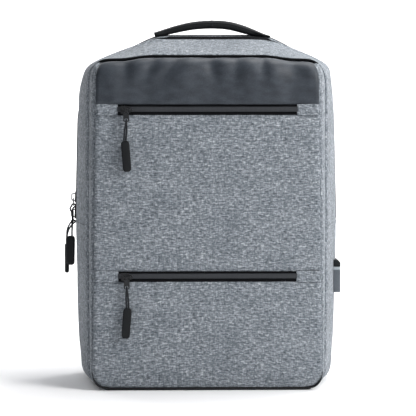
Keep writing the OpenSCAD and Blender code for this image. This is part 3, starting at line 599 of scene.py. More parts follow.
def tube_rings(path, radius, sides=10, closed=False):
    """Rings round a path, turned as little as possible from one to the next."""
    path = [Vector(p) for p in path]
    n = len(path)
    rings, side = [], None
    for i, p in enumerate(path):
        if closed:
            tangent = (path[(i + 1) % n] - path[i - 1]).normalized()
        else:
            tangent = (path[min(i + 1, n - 1)] - path[max(i - 1, 0)]).normalized()
        if side is None:
            side = tangent.orthogonal().normalized()
        side = (side - tangent * side.dot(tangent)).normalized()
        up = tangent.cross(side)
        r = radius[i] if isinstance(radius, (list, tuple)) else radius
        turns = [2 * math.pi * k / sides for k in range(sides)]
        rings.append([p + (side * math.cos(a) + up * math.sin(a)) * r for a in turns])
    return rings


def strap_rings(path, wide, width, thickness, power=2.4, sides=24):
    """Rings of a flat padded strap whose width lies along the direction wide."""
    path, wide = [Vector(p) for p in path], Vector(wide)
    n = len(path)
    rings = []
    for i, p in enumerate(path):
        tangent = (path[min(i + 1, n - 1)] - path[max(i - 1, 0)]).normalized()
        up = tangent.cross(wide).normalized()
        across = up.cross(tangent)
        w = width(i / (n - 1)) if callable(width) else width
        t = thickness(i / (n - 1)) if callable(thickness) else thickness
        ring = []
        for k in range(sides):
            a = 2 * math.pi * k / sides
            c, s = math.cos(a), math.sin(a)
            x = math.copysign(abs(c) ** (2 / power), c) * w / 2
            y = math.copysign(abs(s) ** (2 / power), s) * t / 2
            ring.append(p + across * x + up * y)
        rings.append(ring)
    return rings


# ---- camera ----
eye, target = Vector((-0.0348, -1.9934, 0.3555)), Vector((0.0017, 0, 0.1985))
camera_data = bpy.data.cameras.new("camera")
camera_data.lens, camera_data.sensor_width = 152.2, 36
camera = bpy.data.objects.new("camera", camera_data)
camera.location = eye
camera.rotation_mode = "QUATERNION"
camera.rotation_quaternion = (target - eye).to_track_quat("-Z", "Y")
scene.collection.objects.link(camera)
scene.camera = camera

# ---- pull cords: each is one loop through its tab's slot, with both ends in the grip ----
CORD_R, LOOP_R, STRAND = 1.0, 2.2, 1.1
POCKET_SLOT, MAIN_SLOT = -10.7, -6.3
POCKET_PIVOT = Vector((-89, -69.1, 0))


def main_x(z):
    return -(HALF_W - 1.6 - LEAN * (z - FOLD_Z) + 0.4)


def pocket_frame(z):
    return lambda p: Vector((POCKET_PIVOT.x + p[0], POCKET_PIVOT.y + p[1], z + p[2]))


def main_frame(z):
    return lambda p: Vector((main_x(z) + p[1] - 5.0, ZIP_Y - p[0], z - 1.7 + p[2]))


def loop_path(route, slot, place):
    def strand(side):
        points = []
        for i, (across, out, below) in enumerate(route):
            points.append((across + side * STRAND * min(1, 0.5 + i * 0.5), side * max(0, 1.6 - i * 0.8) - out,
                           slot - below))
        return points

    bend = []
    for turn in range(180, -1, -30):
        a = math.radians(turn)
        bend.append((0, LOOP_R * math.cos(a), slot - LOOP_R + LOOP_R * math.sin(a)))
    return [place(p) for p in smooth_curve(list(reversed(strand(-1))) + bend + strand(1), 3)]


PULLS = {
    "upper_pocket": (pocket_frame(UPPER_ZIP_Z), POCKET_SLOT, "upper_pocket_pull",
                     [(-0.2, 0, 5.5), (-0.6, 0.2, 12), (-1.2, 0.4, 19), (-1.5, 0.4, 23)]),
    "lower_pocket": (pocket_frame(LOWER_ZIP_Z), POCKET_SLOT, "lower_pocket_pull",
                     [(0.1, 0, 5.5), (0.4, 0.2, 12), (0.8, 0.4, 19), (1, 0.4, 23)]),
    "main_upper": (main_frame(208.6), MAIN_SLOT, "main_upper_pull",
                   [(4.4, 2.2, 5.2), (6.8, 1, 10), (8.5, 1, 19), (9, 1.5, 31), (9, 1.5, 36)]),
    "main_lower": (main_frame(190), MAIN_SLOT, "main_lower_pull",
                   [(-1.5, 3, 5.5), (-3, 6.5, 12), (-5, 8, 22), (-5.5, 8, 28)]),
}


def pull_cord(name):
    place, slot, body, route = PULLS[name]
    path = loop_path(route, slot, place)
    loop = ring_mesh(name + "_cord_loop", tube_rings(path, CORD_R), leans=False)
    piece = finished(name + "_cord_loop", loop, BRAID, body, [name + "_cord"], stop_deg=70)
    path = [p * MM for p in path]
    return piece


for pull in PULLS:
    pull_cord(pull)

# ---- the charging lead inside the bag, from the port's backplate down to its plug ----
PORT_Y, PORT_Z, PORT_H = 8.0, 102.0, 37.0
port_mid = PORT_Z + PORT_H / 2
seat_front = PORT_Y - 21 / 2 - 3
seat = mix(side_x(PORT_Z, seat_front), side_x(PORT_Z, ZIP_Y), (PORT_Y - seat_front) / (ZIP_Y - seat_front))
lead_x = seat - 2.4 - 0.6 - 2
lead_points = [(lead_x + 2, PORT_Y, port_mid), (lead_x - 3, PORT_Y, port_mid), (lead_x - 9, PORT_Y, port_mid - 4),
               (127, PORT_Y, port_mid - 13), (125, PORT_Y + 1, port_mid - 23), (125, PORT_Y + 1, port_mid - 34)]
lead_path = smooth_curve(lead_points, 5)
lead_run = ring_mesh("charging_lead_run", tube_rings(lead_path, 1.7), leans=False)
lead = finished("charging_lead_run", lead_run, BRAID, "bag", ["charging_lead"], stop_deg=70)


# ---- front panels ----
def crown(u, v, height):
    return height * (1 - abs(2 * u - 1) ** 4) * (1 - abs(2 * v - 1) ** 4)


def edge_drop(u, width_mm, half_mm, depth):
    """How far the cloth rolls back beside its side seams."""
    near = (1 - abs(2 * u - 1)) * half_mm
    return -depth * (1 - clamp01(near / width_mm)) ** 2


def front_rows(z0, z1, count, columns=96):
    rows = []
    for k in range(count):
        z = mix(z0, z1, k / (count - 1))
        w = panel_x(z)
        rows.append([Vector((w * (2 * j / columns - 1), front_y(z), z)) for j in range(columns + 1)])
    return rows


def cloth_rise(seed, crown_mm, lip_top=False, lip_foot=False, height=170.0):
    """Soft unevenness of a sewn front panel, with folded lips beside a zip."""

    def rise(u, v, p):
        out = crown(u, v, crown_mm) + edge_drop(u, 2.4, 123, 1.4)
        out += 0.9 * ripple((p.x, p.z, 0), 52, seed) + 0.35 * ripple((p.x, p.z, 0), 17, seed + 3)
        out += 0.25 * ripple((p.x * 0.5, p.z * 1.4, 5), 9, seed + 5)
        for lip, away in ((lip_top, (1 - v) * height), (lip_foot, v * height)):
            if lip:
                out += 0.5 * math.exp(-((away - 2.4) / 1.8) ** 2) - 2.2 * math.exp(-(away / 1.5) ** 2)
                out += 0.35 * math.exp(-away / 7) * ripple((p.x, p.z, 9), 7, seed + 8)
        return out

    return rise


middle_z = (LOWER_ZIP_Z + WINDOW_H / 2, UPPER_ZIP_Z - WINDOW_H / 2)
middle_rows = front_rows(middle_z[0], middle_z[1], 76)
middle = finished(
    "middle_front_panel",
    sheet_mesh("middle_front_panel", [middle_rows],
               cloth_rise(2.0, 1.6, lip_top=True, lip_foot=True, height=middle_z[1] - middle_z[0])),
    CANVAS, "upper_front", ["middle_panel", "middle_panel_foot", "fold_band"], blended=True)

corner_levels = [FLOOR_Z + CORNER_H * (1 - math.sin(math.radians(a))) for a in range(90, -1, -9)]
lower_top = LOWER_ZIP_Z - WINDOW_H / 2
lower_levels = corner_levels + [mix(corner_levels[-1], lower_top, k / 44) for k in range(1, 45)]
lower_rows = [[Vector((panel_x(z) * (2 * j / 96 - 1), front_y(z), z)) for j in range(97)] for z in lower_levels]
lower = finished(
    "lower_front_panel",
    sheet_mesh("lower_front_panel", [lower_rows], cloth_rise(6.0, 1.4, lip_top=True, height=lower_top)),
    CANVAS, "bag", ["lower_panel"])

# The dark panel is gathered into the seam under the piping, so folds fan down from there.
FOLDS = [  # across in mm, half width, height or depth, length down, drift per mm down
    (-104, 7, 1.2, 22, 0.1), (-90, 5, -2.2, 22, 0.1), (-74, 8, 2.2, 32, -0.2), (-55, 5, -3.0, 16, -0.55),
    (-42, 7, 0.8, 26, -0.5), (-30, 4, -1.4, 30, -0.75), (-16, 8, 2.4, 34, -0.35), (4, 5, -2.4, 20, 0.1),
    (17, 7, 1.9, 28, 0.1), (31, 4.5, -2.2, 14, 0.05), (47, 8, 2.0, 30, -0.1), (60, 4, -2.2, 16, 0.1),
    (74, 8, 2.2, 40, -0.2), (94, 8, -2.6, 34, 0.15), (112, 5, 1.0, 26, 0.1),
]


def gathered_rise(u, v, p):
    down = max(piping_z(p.x) - p.z, 0.0)
    free = 1 - math.exp(-(down / 9.0) ** 2)
    out = edge_drop(u, 2.4, 120, 1.6) + 1.1 * crown(u, v, 1.0)
    for x, half, height, length, drift in FOLDS:
        across = (p.x - x - drift * down) / (half * (1 + down / 34))
        out += 1.5 * free * height * math.exp(-across * across) * math.exp(-down / (1.3 * length))
    out += free * 2.8 * ripple((p.x + 0.6 * p.z, p.z * 0.5, 0), 36, 11) * (1 - 0.4 * v)
    out += free * 0.7 * ripple((p.x + 0.4 * p.z, p.z * 0.5, 4), 14, 14)
    out -= 1.6 * math.exp(-(down / 2.4) ** 2)
    up = p.z - top_foot
    out += 0.4 * math.exp(-((up - 2.6) / 1.6) ** 2) - 1.4 * math.exp(-(up / 1.2) ** 2)
    return out


def panel_edge(u, turn):
    """A point of the dark panel's turn over the top: turn 0 is the front face and 1 the seam at the piping."""
    a = turn * math.pi / 2
    x = mix(u * panel_x(TURN_Z), u * PANEL_CORNER_X, ease(0, 1, turn))
    top = piping_z(u * PANEL_CORNER_X) - 2.4
    full = 0.62  # below 1 the cloth stays upright for longer and rolls over close to the seam
    y = FRONT_Y + (PIPING_Y - PIPING_R + 0.3 - FRONT_Y) * (1 - max(math.cos(a), 0.0) ** full)
    return Vector((x, y, TURN_Z + (top - TURN_Z) * math.sin(a) ** full))


top_foot = UPPER_ZIP_Z + WINDOW_H / 2
columns = [2 * j / 120 - 1 for j in range(121)]
top_rows = [[Vector((u * panel_x(z), FRONT_Y, z)) for u in columns]
            for z in (mix(top_foot, TURN_Z, k / 8) for k in range(8))]
top_rows += [[panel_edge(u, k / 20) for u in columns] for k in range(21)]
top_piece = finished("gathered_top_panel", sheet_mesh("gathered_top_panel", [top_rows], gathered_rise), SLATE,
                     "upper_front", ["top_panel"])


# ---- side strips between the front panels and the piping ----
def strip_rows(side):
    levels = corner_levels + [mix(corner_levels[-1], TURN_Z, k / 84) for k in range(1, 85)]
    front = [Vector((panel_x(z), front_y(z), z)) for z in levels]
    back = [Vector((side_x(max(z, FLOOR_Z + CORNER_H), PIPING_Y) - PIPING_R - corner_cut(z), PIPING_Y, z))
            for z in levels]
    front += [panel_edge(1.0, k / 14) for k in range(1, 15)]
    round_top = [Vector((p.x - PIPING_R, PIPING_Y, p.y)) for p in piping_half if p.x > PANEL_CORNER_X]
    back += even([back[-1]] + [p for p in round_top if p.z > TURN_Z] +
                 [Vector((PANEL_CORNER_X, PIPING_Y, piping_z(PANEL_CORNER_X) - 1.2))], 15)[1:]
    across = 9
    rows = []
    for k in range(across):
        t = k / (across - 1)
        row = []
        for f, b in zip(front, back):
            p = f.lerp(b, t)
            gap = (b - f).length
            tuck = min(1.0, gap / 12)
            p += Vector((1.1, -0.6, 0)) * math.sin(math.pi * t) * tuck
            p.y += (4.6, 4.0, 1.4, 0.2)[min(k, 3)] * tuck
            p.x -= (2.2, 0.2, 0, 0)[min(k, 3)] * tuck
            row.append(Vector((p.x * side, p.y, p.z)))
        rows.append(row)
    return rows


def strip_rise(u, v, p):
    middle = math.sin(math.pi * v)
    return middle * (0.7 * ripple((p.x, p.y, p.z * 0.35), 9, 21) + 0.5 * ripple((p.x, 0, p.z), 40, 24))


strips = [strip_rows(-1), strip_rows(1)]
strip_piece = finished("front_side_strips", sheet_mesh("front_side_strips", strips, strip_rise), CANVAS,
                       "upper_front", ["upper_side_strips", "lower_side_strips"], blended=True)

# ---- gussets round the sides, top and base ----
GUSSET_FRONT, GUSSET_BACK = PIPING_Y + PIPING_R + 0.3, 60.2
ZIP_EDGES = (31.9, 42.1)  # the two seams along the main zip's tapes
UPPER_FOOT, LOWER_TOP = 182.6, 182.2  # where the upper and the lower gussets meet at the fold


def gusset_rows(y0, y1, outline, count):
    rows = []
    for k in range(count):
        y = mix(y0, y1, k / (count - 1))
        rows.append([Vector((p.x, y, p.y)) for p in outline(y)])
    return rows


def gusset_rise(depth, front_seam, back_seam, seed, ends=0.0, ridge=0.0):
    def rise(u, v, p):
        from_front, from_back = v * depth, (1 - v) * depth
        out = (0.9 * math.sin(math.pi * v) * ripple((p.x, p.y * 2.2, p.z), 48, seed)
               + 0.6 * math.sin(math.pi * v) * ripple((p.x * 0.35, p.y, p.z * 0.35), 8, seed + 4))
        out -= front_seam * math.exp(-(from_front / 1.4) ** 2) + back_seam * math.exp(-(from_back / 1.6) ** 2)
        out += 0.4 * math.exp(-((from_front - 3.6) / 1.6) ** 2)
        if ridge:
            near_top = ease(50, 80, abs(p.x - 7)) * ease(300, 335, p.z)
            out += ridge * near_top * math.exp(-((from_back - 1.5) / 4) ** 2)
        if ends:
            out += ends * math.exp(-(min(u, 1 - u) * 900 / 3.5) ** 2)
        return out

    return rise


upper_rows = gusset_rows(GUSSET_FRONT, ZIP_EDGES[0], lambda y: over_top(y, UPPER_FOOT), 26)
upper_mesh = sheet_mesh("front_top_gusset", [upper_rows], gusset_rise(70, 2.6, 1.0, 31, ridge=2.0))
upper_gusset = finished("front_top_gusset", upper_mesh, CANVAS, "upper_front", ["upper_gusset"],
                        blended=True)

rear_rows = gusset_rows(ZIP_EDGES[1], GUSSET_BACK, lambda y: over_top(y, UPPER_FOOT), 10)
rear_mesh = sheet_mesh("rear_top_gusset", [rear_rows], gusset_rise(18, 1.0, 0.8, 35))
rear_gusset = finished("rear_top_gusset", rear_mesh, CANVAS, "bag", ["rear_gusset"])

base_rows = gusset_rows(GUSSET_FRONT, GUSSET_BACK, lambda y: under_base(y, LOWER_TOP), 34)
lower_mesh = sheet_mesh("lower_base_gusset", [base_rows], gusset_rise(98, 2.6, 0.8, 38, ends=0.9))
lower_gusset = finished("lower_base_gusset", lower_mesh, CANVAS, "bag", ["lower_gusset"],
                        blended=True)


# ---- main zip: two rows of coil under folded tapes ----
def zip_strip(name, y0, y1, coil_at_end, body, node, z0):
    """A tape that runs over the top, with its folded edge raised beside the coil."""
    profile = [(0.0, -0.2), (0.25, 0.2), (0.55, 0.3), (0.7, 1.1), (0.86, 1.3), (1.0, 0.4), (1.0, -0.6)]
    if not coil_at_end:
        profile = [(1 - t, h) for t, h in reversed(profile)]
    rows, lifts = [], []
    for t, h in profile:
        y = mix(y0, y1, t)
        rows.append([Vector((p.x, y, p.y)) for p in over_top(y, z0)])
        lifts.append(h)
    count = len(profile) - 1

    def rise(u, v, p):
        sloping = ease(50, 76, abs(p.x - 7)) * ease(300, 330, p.z)
        return lifts[round(v * count)] - 2.6 * sloping

    finished(name, sheet_mesh(name, [rows], rise, thick=0.8), ZIP_BLACK, body, [node],
             blended=body == "upper_front")


zip_strip("main_zip_front_tape", 31.9, 36.7, True, "upper_front", "main_zip_front_row", 184.6)
zip_strip("main_zip_rear_tape", 37.3, 42.1, False, "bag", "main_zip_rear_row", 183.0)

# ---- piping round the front edge: canvas at the sides, black where the dark panel meets the top: partly the panel's dark turned edge, partly a painted shadow of the top seam ----
whole = over_top(PIPING_Y, FOLD_Z, 60)
foot = under_base(PIPING_Y, FOLD_Z, 60)
loop = whole + list(reversed(foot))[1:-1]
centre = Vector((0, 190))
piping_path = []
for i, p in enumerate(loop):
    tangent = (loop[(i + 1) % len(loop)] - loop[i - 1]).normalized()
    inwards = Vector((-tangent.y, tangent.x))
    if inwards.dot(centre - p) < 0:
        inwards.negate()
    q = p + inwards * (PIPING_R - 0.4)
    piping_path.append(Vector((q.x, PIPING_Y - 0.2, q.y)))
finished(
    "front_piping",
    ring_mesh("front_piping", tube_rings(piping_path, PIPING_R + 0.25, 10, closed=True), closed=True,
              # Faces over the top take the black zip cloth: partly the dark panel's edge, partly painted shadow of the
              # seam.
              slot_of=lambda t, p: 1 if p.z > piping_z(PANEL_CORNER_X) - 1 else 0),
    [CANVAS, ZIP_BLACK], "upper_front", ["upper_piping", "lower_piping"], blended=True, stop_deg=80)


# ---- pocket zips ----
ZIP_FACE_Y, TAB_FACE_Y = -62.2, -62.6


def pocket_zip(z, body, name, node):
    """A reversed-coil zip in its window: a coated band, parted down its middle, between black tape edges that also
    paint the shade under the window's lips.
    """
    # Rows with slot 0 take the black tape cloth: partly black tape, partly painted shade in the recess under the panel
    # lips.
    profile = [(-6.6, 1.6, 0), (-2.4, 1.5, 0), (-2.2, 0.3, 1), (-1.8, -0.4, 1), (-0.8, -0.8, 1), (0.2, -0.85, 1),
               (0.45, -0.6, 1), (0.65, -0.6, 1), (0.9, -0.85, 1), (1.9, -0.8, 1), (3.0, -0.4, 1), (3.4, 0.3, 0),
               (3.6, 1.5, 0), (6.6, 1.6, 0)]
    steps = 60
    rows = []
    for dz, dy, _ in profile:
        rows.append([Vector((ZIP_L * (j / steps - 0.5), ZIP_FACE_Y + dy + 0.15 * ripple((j * 3, dz, z), 14), z + dz))
                     for j in range(steps + 1)])
    last = len(profile) - 1
    finished(name, sheet_mesh(name, [rows], away=(0, 0, z), thick=0.8,
                              slot_of=lambda u, v, p: profile[round(v * last)][2]),
             [ZIP_BLACK, ZIP_COATED], body, [node])


pocket_zip(UPPER_ZIP_Z, "upper_front", "upper_pocket_zip", "upper_zip_chain")
pocket_zip(LOWER_ZIP_Z, "bag", "lower_pocket_zip", "lower_zip_chain")


def zip_tabs(z, body, name, node):
    parts = []
    x0, x1 = ZIP_L / 2 - 0.6, panel_x(z) - 0.8
    for side in (-1, 1):
        parts.append([[Vector((side * mix(x0, x1, j / 20), TAB_FACE_Y, z + mix(-6.2, 6.2, i / 12))) for j in range(21)]
                      for i in range(13)])

    def rise(u, v, p):
        dimple = 0.9 * math.exp(-((u - 0.8) ** 2 + (v - 0.62) ** 2) / 0.02) if p.x > 0 else 0.0
        out = 0.5 * ripple((p.x, p.z, z), 8, 44) - dimple
        return out + edge_drop(u, 1.6, 11, 1.5) * (1 if abs(p.x) > 110 else 0.4)

    piece = finished(name, sheet_mesh(name, parts, rise), CANVAS, body, [node])


zip_tabs(UPPER_ZIP_Z, "upper_front", "upper_zip_end_tabs", "upper_zip_tabs")
zip_tabs(LOWER_ZIP_Z, "bag", "lower_zip_end_tabs", "lower_zip_tabs")


# ---- base: a stiff black panel with a bound front edge ----
def quarter_turn(cx, cy, r, start, steps):
    """A quarter of a circle from the start angle, in degrees."""
    turns = [math.radians(start + 90 * k / steps) for k in range(steps + 1)]
    return [(cx + r * math.cos(a), cy + r * math.sin(a)) for a in turns]


def filled_in(points, gap):
    """A closed outline with more points on its straight stretches, about gap mm apart."""
    out = []
    for p, q in zip(points, points[1:] + points[:1]):
        count = max(1, int(math.dist(p, q) // gap))
        out += [(mix(p[0], q[0], k / count), mix(p[1], q[1], k / count)) for k in range(count)]
    return out


def base_outline(grow):
    points, r = [], 8
    for sx, sy, w, y, start in ((1, -1, 116.5, -60.5, -90), (1, 1, 128, 57.5, 0), (-1, 1, 128, 57.5, 90),
                                (-1, -1, 116.5, -60.5, 180)):
        points += quarter_turn(sx * (w - r), y - sy * r, r + grow, start, 8)
    return points


base_rings = [[Vector((x, y, z)) for x, y in base_outline(grow)]
              for grow, z in ((-3.0, 0.0), (-0.8, 0.3), (0.0, 1.2), (0.0, 2.2), (-0.6, 3.0), (-3.0, 3.3))]
finished("base_panel_bound", ring_mesh("base_panel_bound", base_rings), BLACK_CLOTH, "bag",
         ["base_panel"])
edge = [Vector((panel_x(z) + 0.3, front_y(z) - 0.3, z)) for z in reversed(corner_levels)]
edge = [Vector((p.x, p.y, max(p.z, 2.2))) for p in edge]
binding_path = [Vector((-p.x, p.y, p.z)) for p in edge]
binding_path += [Vector((x, edge[-1].y, 2.2)) for x in range(-108, 109, 9)] + list(reversed(edge))
thin = [mix(0.35, 1.35, ease(0, 6, min(i, len(binding_path) - 1 - i))) for i in range(len(binding_path))]
finished("base_front_binding", ring_mesh("base_front_binding", tube_rings(binding_path, thin, 8)), WEBBING, "bag",
         stop_deg=80)


# ---- back: quilted panel, three spacer-mesh pads ----
def disc_rings(outline, y0, profile):
    """Rings that close in on the outline's middle: profile holds (scale, depth added) from the rim inwards."""
    cx = sum(p[0] for p in outline) / len(outline)
    cz = sum(p[1] for p in outline) / len(outline)
    return [[Vector((cx + (x - cx) * s, y0 + d, cz + (z - cz) * s)) for x, z in outline] for s, d in profile]


back_line = over_top(BACK_Y, FOLD_Z, 30)
back_line = [(p.x, p.y) for p in back_line + list(reversed(under_base(BACK_Y, FOLD_Z, 30)))[1:-1]]
back_rings = disc_rings(back_line, BACK_Y, [(0.97, 0.2), (1.0, 0.4), (1.004, 1.6), (1.0, 3.2), (0.985, 4.0)]
                        + [(s, 4.0 + 0.9 * (1 - s)) for s in (0.93, 0.85, 0.7, 0.55, 0.4, 0.2, 0.02)])
for ring in back_rings[5:]:
    for p in ring:
        p.y += 0.5 * ripple((p.x, p.z, 0), 40, 51) - 0.9 * math.exp(-((p.z - 268) / 2.4) ** 2)
back_panel = finished("back_panel_padded", ring_mesh("back_panel_padded", back_rings), BLACK_CLOTH, "bag",
                      ["back_panel"])


def rounded_outline(cx, cz, w, h, r, steps=10):
    points = []
    for sx, sz, start in ((1, -1, -90), (1, 1, 0), (-1, 1, 90), (-1, -1, 180)):
        points += quarter_turn(cx + sx * (w / 2 - r), cz + sz * (h / 2 - r), r, start, steps)
    return filled_in(points, 6)


def join_meshes(name, meshes):
    """One mesh from several, each with its own UVs and materials' slots."""
    holders = [linked(name, mesh) for mesh in meshes]
    take_up(*holders)
    bpy.ops.object.join()
    mesh = holders[0].data
    bpy.data.objects.remove(holders[0])
    return mesh


def mesh_pad(cx, cz, w, h, channels):
    outline = rounded_outline(cx, cz, w, h, 18)
    profile = [(0.93, 0.0), (0.985, 0.3), (1.0, 1.6), (0.992, 3.4), (0.965, 5.4), (0.925, 6.8), (0.87, 7.6)]
    profile += [(s, 7.7 + 1.1 * (1 - s)) for s in (0.8, 0.72, 0.64, 0.56, 0.48, 0.4, 0.32, 0.24, 0.16, 0.08, 0.02)]
    rings = disc_rings(outline, 63.6, profile)
    for ring in rings[5:]:
        for p in ring:
            p.y -= sum(2.2 * math.exp(-((p.z - z) / 3.0) ** 2) for z in channels)
            p.y += 0.35 * ripple((p.x, p.z, 2), 22, 55)
    return ring_mesh("pad", rings)


pads = join_meshes("back_mesh_pads", [mesh_pad(-58, 205.4, 84, 120, (185, 225)),
                                      mesh_pad(58, 205.4, 84, 120, (185, 225)),
                                      mesh_pad(0, 90.85, 200, 80, (91,))])
back_pads = finished("back_mesh_pads", pads, MESH, "bag", ["back_pads"])

# ---- handle: padded webbing, folded over at its ends ----
HANDLE_Y = 54
HANDLE = [  # across, height of its middle, thickness
    (-66, 395.8, 5.4), (-60, 397.2, 6.0), (-53, 398.8, 7.4), (-43, 401.4, 8.4), (-27, 405.0, 9.2),
    (-10, 407.0, 9.6), (8, 407.2, 9.8), (22, 405.6, 9.8), (35, 402.2, 9.4), (46, 398.8, 8.0), (54, 396.6, 5.6), (62, 394.6, 3.2),
    (68, 393.6, 2.0)]
handle_line = smooth_curve([(x, HANDLE_Y, z, t) for x, z, t in HANDLE], 4)
handle_rings = []
for i, p in enumerate(handle_line):
    before, after = handle_line[max(i - 1, 0)], handle_line[min(i + 1, len(handle_line) - 1)]
    tangent = Vector((after[0] - before[0], 0, after[2] - before[2])).normalized()
    up = Vector((-tangent.z, 0, tangent.x))
    wide = mix(26, 17, ease(3.5, 8, p[3]))
    ring = []
    for k in range(28):
        a = 2 * math.pi * k / 28
        c, s = math.cos(a), math.sin(a)
        y = math.copysign(abs(c) ** 0.8, c) * wide / 2
        z = math.copysign(abs(s) ** 0.8, s) * p[3] / 2
        y -= math.copysign(0.9 * math.exp(-(z / 0.9) ** 2), y) if abs(c) > 0.7 else 0
        ring.append(Vector((p[0], HANDLE_Y + y, p[2])) + up * z)
    handle_rings.append(ring)
handle = finished("padded_handle", ring_mesh("padded_handle", handle_rings), WEBBING, "bag",
                  ["handle"], stop_deg=60)


def stitches(name, paths, body, length=2.6, gap=1.4, size=0.45):
    """Short thread stitches along paths in mm, each a six-sided bead that dips at both ends."""
    meshes = []
    for path in paths:
        total = sum((Vector(q) - Vector(p)).length for p, q in zip(path, path[1:]))
        count = max(2, int(total / (length + gap)))
        spots = even([Vector(p) for p in path], count * 6 + 1)
        for k in range(count):
            a, b = spots[k * 6], spots[k * 6 + 4]
            line = [a, a.lerp(b, 0.3), a.lerp(b, 0.7), b]
            meshes.append(ring_mesh(name, tube_rings(line, [size * 0.4, size, size, size * 0.4], 6)))
    finished(name, join_meshes(name, meshes), BRAID, body, stop_deg=80)


stitches("handle_centre_stitches", [[(0.6, 46.4, 409.8), (0.6, 45.1, 407.2), (0.6, 46.6, 403.4)],
                                    [(0.6, 47, 412.0), (0.6, 61, 412.0)]], "bag")

# ---- strap yoke, shoulder straps, buckles, webbing and anchors ----
yoke_path = [(x, 71.2 + 0.4 * math.cos(x / 30), 371.5) for x in range(-93, 94, 6)]
yoke = finished("strap_yoke_padded",
                ring_mesh("strap_yoke_padded", strap_rings(yoke_path, (0, 0, 1), 18.5, lambda t: 13.4
                                                           - 4 * (2 * t - 1) ** 8, 3.2)),
                BLACK_CLOTH, "bag", ["strap_yoke"])
stitches("yoke_stitches", [[(x, 78.4, z) for x in (-30, 30)] for z in (365.2, 377.6)], "bag")


def strap_centre(side, steps=40):
    return [Vector((side * (STRAP_X + 26 * math.sin(math.radians(120 * f))),
                    STRAP_Y + 14 * math.sin(math.pi * f), YOKE_Z - STRAP_L * f)) for f in
            (k / steps for k in range(steps + 1))]


def strap_width(t):
    return 62 - 10 * ease(0.55, 1.0, t) - 20 * ease(0.93, 1.0, t)


def build_strap(side, word):
    path = strap_centre(side)
    rings = strap_rings(path, (1, 0, 0), strap_width, lambda t: 10.5 - 6.5 * ease(0.94, 1.0, t)
                        - 3 * ease(0.04, 0.0, t), 3.0, 32)
    centre = [p.copy() for p in path]
    for ring, middle_point in zip(rings, centre):
        for p in ring:
            far = abs(p.x - middle_point.x)
            if far < 21:
                bulge = 0.8 * (1 - (far / 21) ** 2)
                p.y += math.copysign(bulge, p.y - middle_point.y)
            groove = 1.1 * math.exp(-((far - 23.5) / 1.4) ** 2)
            p.y -= math.copysign(groove, p.y - middle_point.y)
    pad = finished(word + "_shoulder_pad",
                   ring_mesh(word + "_shoulder_pad", rings, leans=False), MESH, word + "_strap",
                   [word + "_strap_pad"])
    edges = []
    for s in (-1, 1):
        line = []
        for i, p in enumerate(path):
            t = i / (len(path) - 1)
            line.append(Vector((p.x + s * (strap_width(t) / 2 - 0.6), p.y, p.z)))
        edges.append(ring_mesh("edge", tube_rings(line, 2.4, 8), leans=False))
    finished(word + "_pad_binding", join_meshes(word + "_pad_binding", edges), WEBBING, word + "_strap",
             stop_deg=80)
    end = path[-1]
    lock_z = end.z - 12
    tape = [Vector((end.x, end.y + 1, lock_z + 22)), Vector((end.x, end.y + 2.6, lock_z + 8)),
            Vector((end.x, end.y + 3.4, lock_z)), Vector((end.x, end.y + 2.4, lock_z - 9)),
            Vector((end.x + side * 4, end.y - 3, lock_z - 30)), Vector((end.x + side * 10, 74.5, 54)),
            Vector((end.x + side * 12, 68.2, 33))]
    tape_path = smooth_curve(tape, 5)
    webbing = ring_mesh(word + "_adjusting_webbing", strap_rings(tape_path, (1, 0, 0), 25, 1.7, 8, 20),
                        leans=False)
    finished(word + "_adjusting_webbing", webbing, WEBBING, word + "_strap",
             [word + "_webbing"])


build_strap(-1, "left")
build_strap(1, "right")

anchor_meshes = []
for side in (-1, 1):
    x = side * (STRAP_X + 26 * math.sin(math.radians(120)) + 12)
    rings = []
    for y, grow in ((63.9, 0.0), (65.6, 0.4), (66.9, -0.4), (67.2, -2.0)):
        quad = [(x - 14 - grow, 32 + grow), (x + 14 + grow, 32 + grow), (x + 20 + grow, 6 - grow),
                (x - 20 - grow, 6 - grow)]
        ring = []
        for p, q in zip(quad, quad[1:] + quad[:1]):
            ring += [Vector((mix(p[0], q[0], k / 6), y, mix(p[1], q[1], k / 6))) for k in range(6)]
        rings.append(ring)
    anchor_meshes.append(ring_mesh("anchor", rings))
finished("strap_anchor_tabs", join_meshes("strap_anchor_tabs", anchor_meshes), WEBBING, "bag",
         ["strap_anchors"])
stitches("anchor_stitches",
         [[(x - 11, 67.5, 29), (x + 11, 67.5, 29), (x + 15, 67.5, 10), (x - 15, 67.5, 10), (x - 11, 67.5, 29)]
          for x in (-96.5, 96.5)], "bag")

# ---- inside: divider, pocket floor, laptop sleeve and battery pocket ----
divider_half = [(p.x - 3.6, p.y - 3.4) for p in shoulder(PIPING_Y)]
divider_levels = [6.0, 12.0, 22.0] + [mix(30, 340, k / 40) for k in range(41)]
divider_rows = [[Vector(((side_x(max(z, 21), PIPING_Y) - corner_cut(z) - 5) * (2 * j / 24 - 1), PIPING_Y + 3, z))
                 for j in range(25)] for z in divider_levels]
for p_x, p_z in divider_half[8:-1:4]:
    divider_rows.append([Vector((max(p_x, 1) * (2 * j / 24 - 1), PIPING_Y + 3, min(p_z, 366.5)))
                         for j in range(25)])
divider = finished("pocket_divider", sheet_mesh("pocket_divider", [divider_rows],
                                                lambda u, v, p: 1.2 * ripple((p.x, p.z, 0), 60, 61), thick=0.9),
                   LINING, "upper_front", ["upper_divider", "lower_divider"], blended=True)

floor_rows = [[Vector((121 * (2 * j / 30 - 1), y, 141.8 - 1.6 * math.sin(math.pi * j / 30))) for j in range(31)]
              for y in (mix(-59.5, -38.5, k / 6) for k in range(7))]
pocket_floor = finished("pocket_floor_cloth", sheet_mesh("pocket_floor_cloth", [floor_rows], None,
                                                         away=(0, 0, 300), thick=0.9),
                        LINING, "bag", ["pocket_floor"])


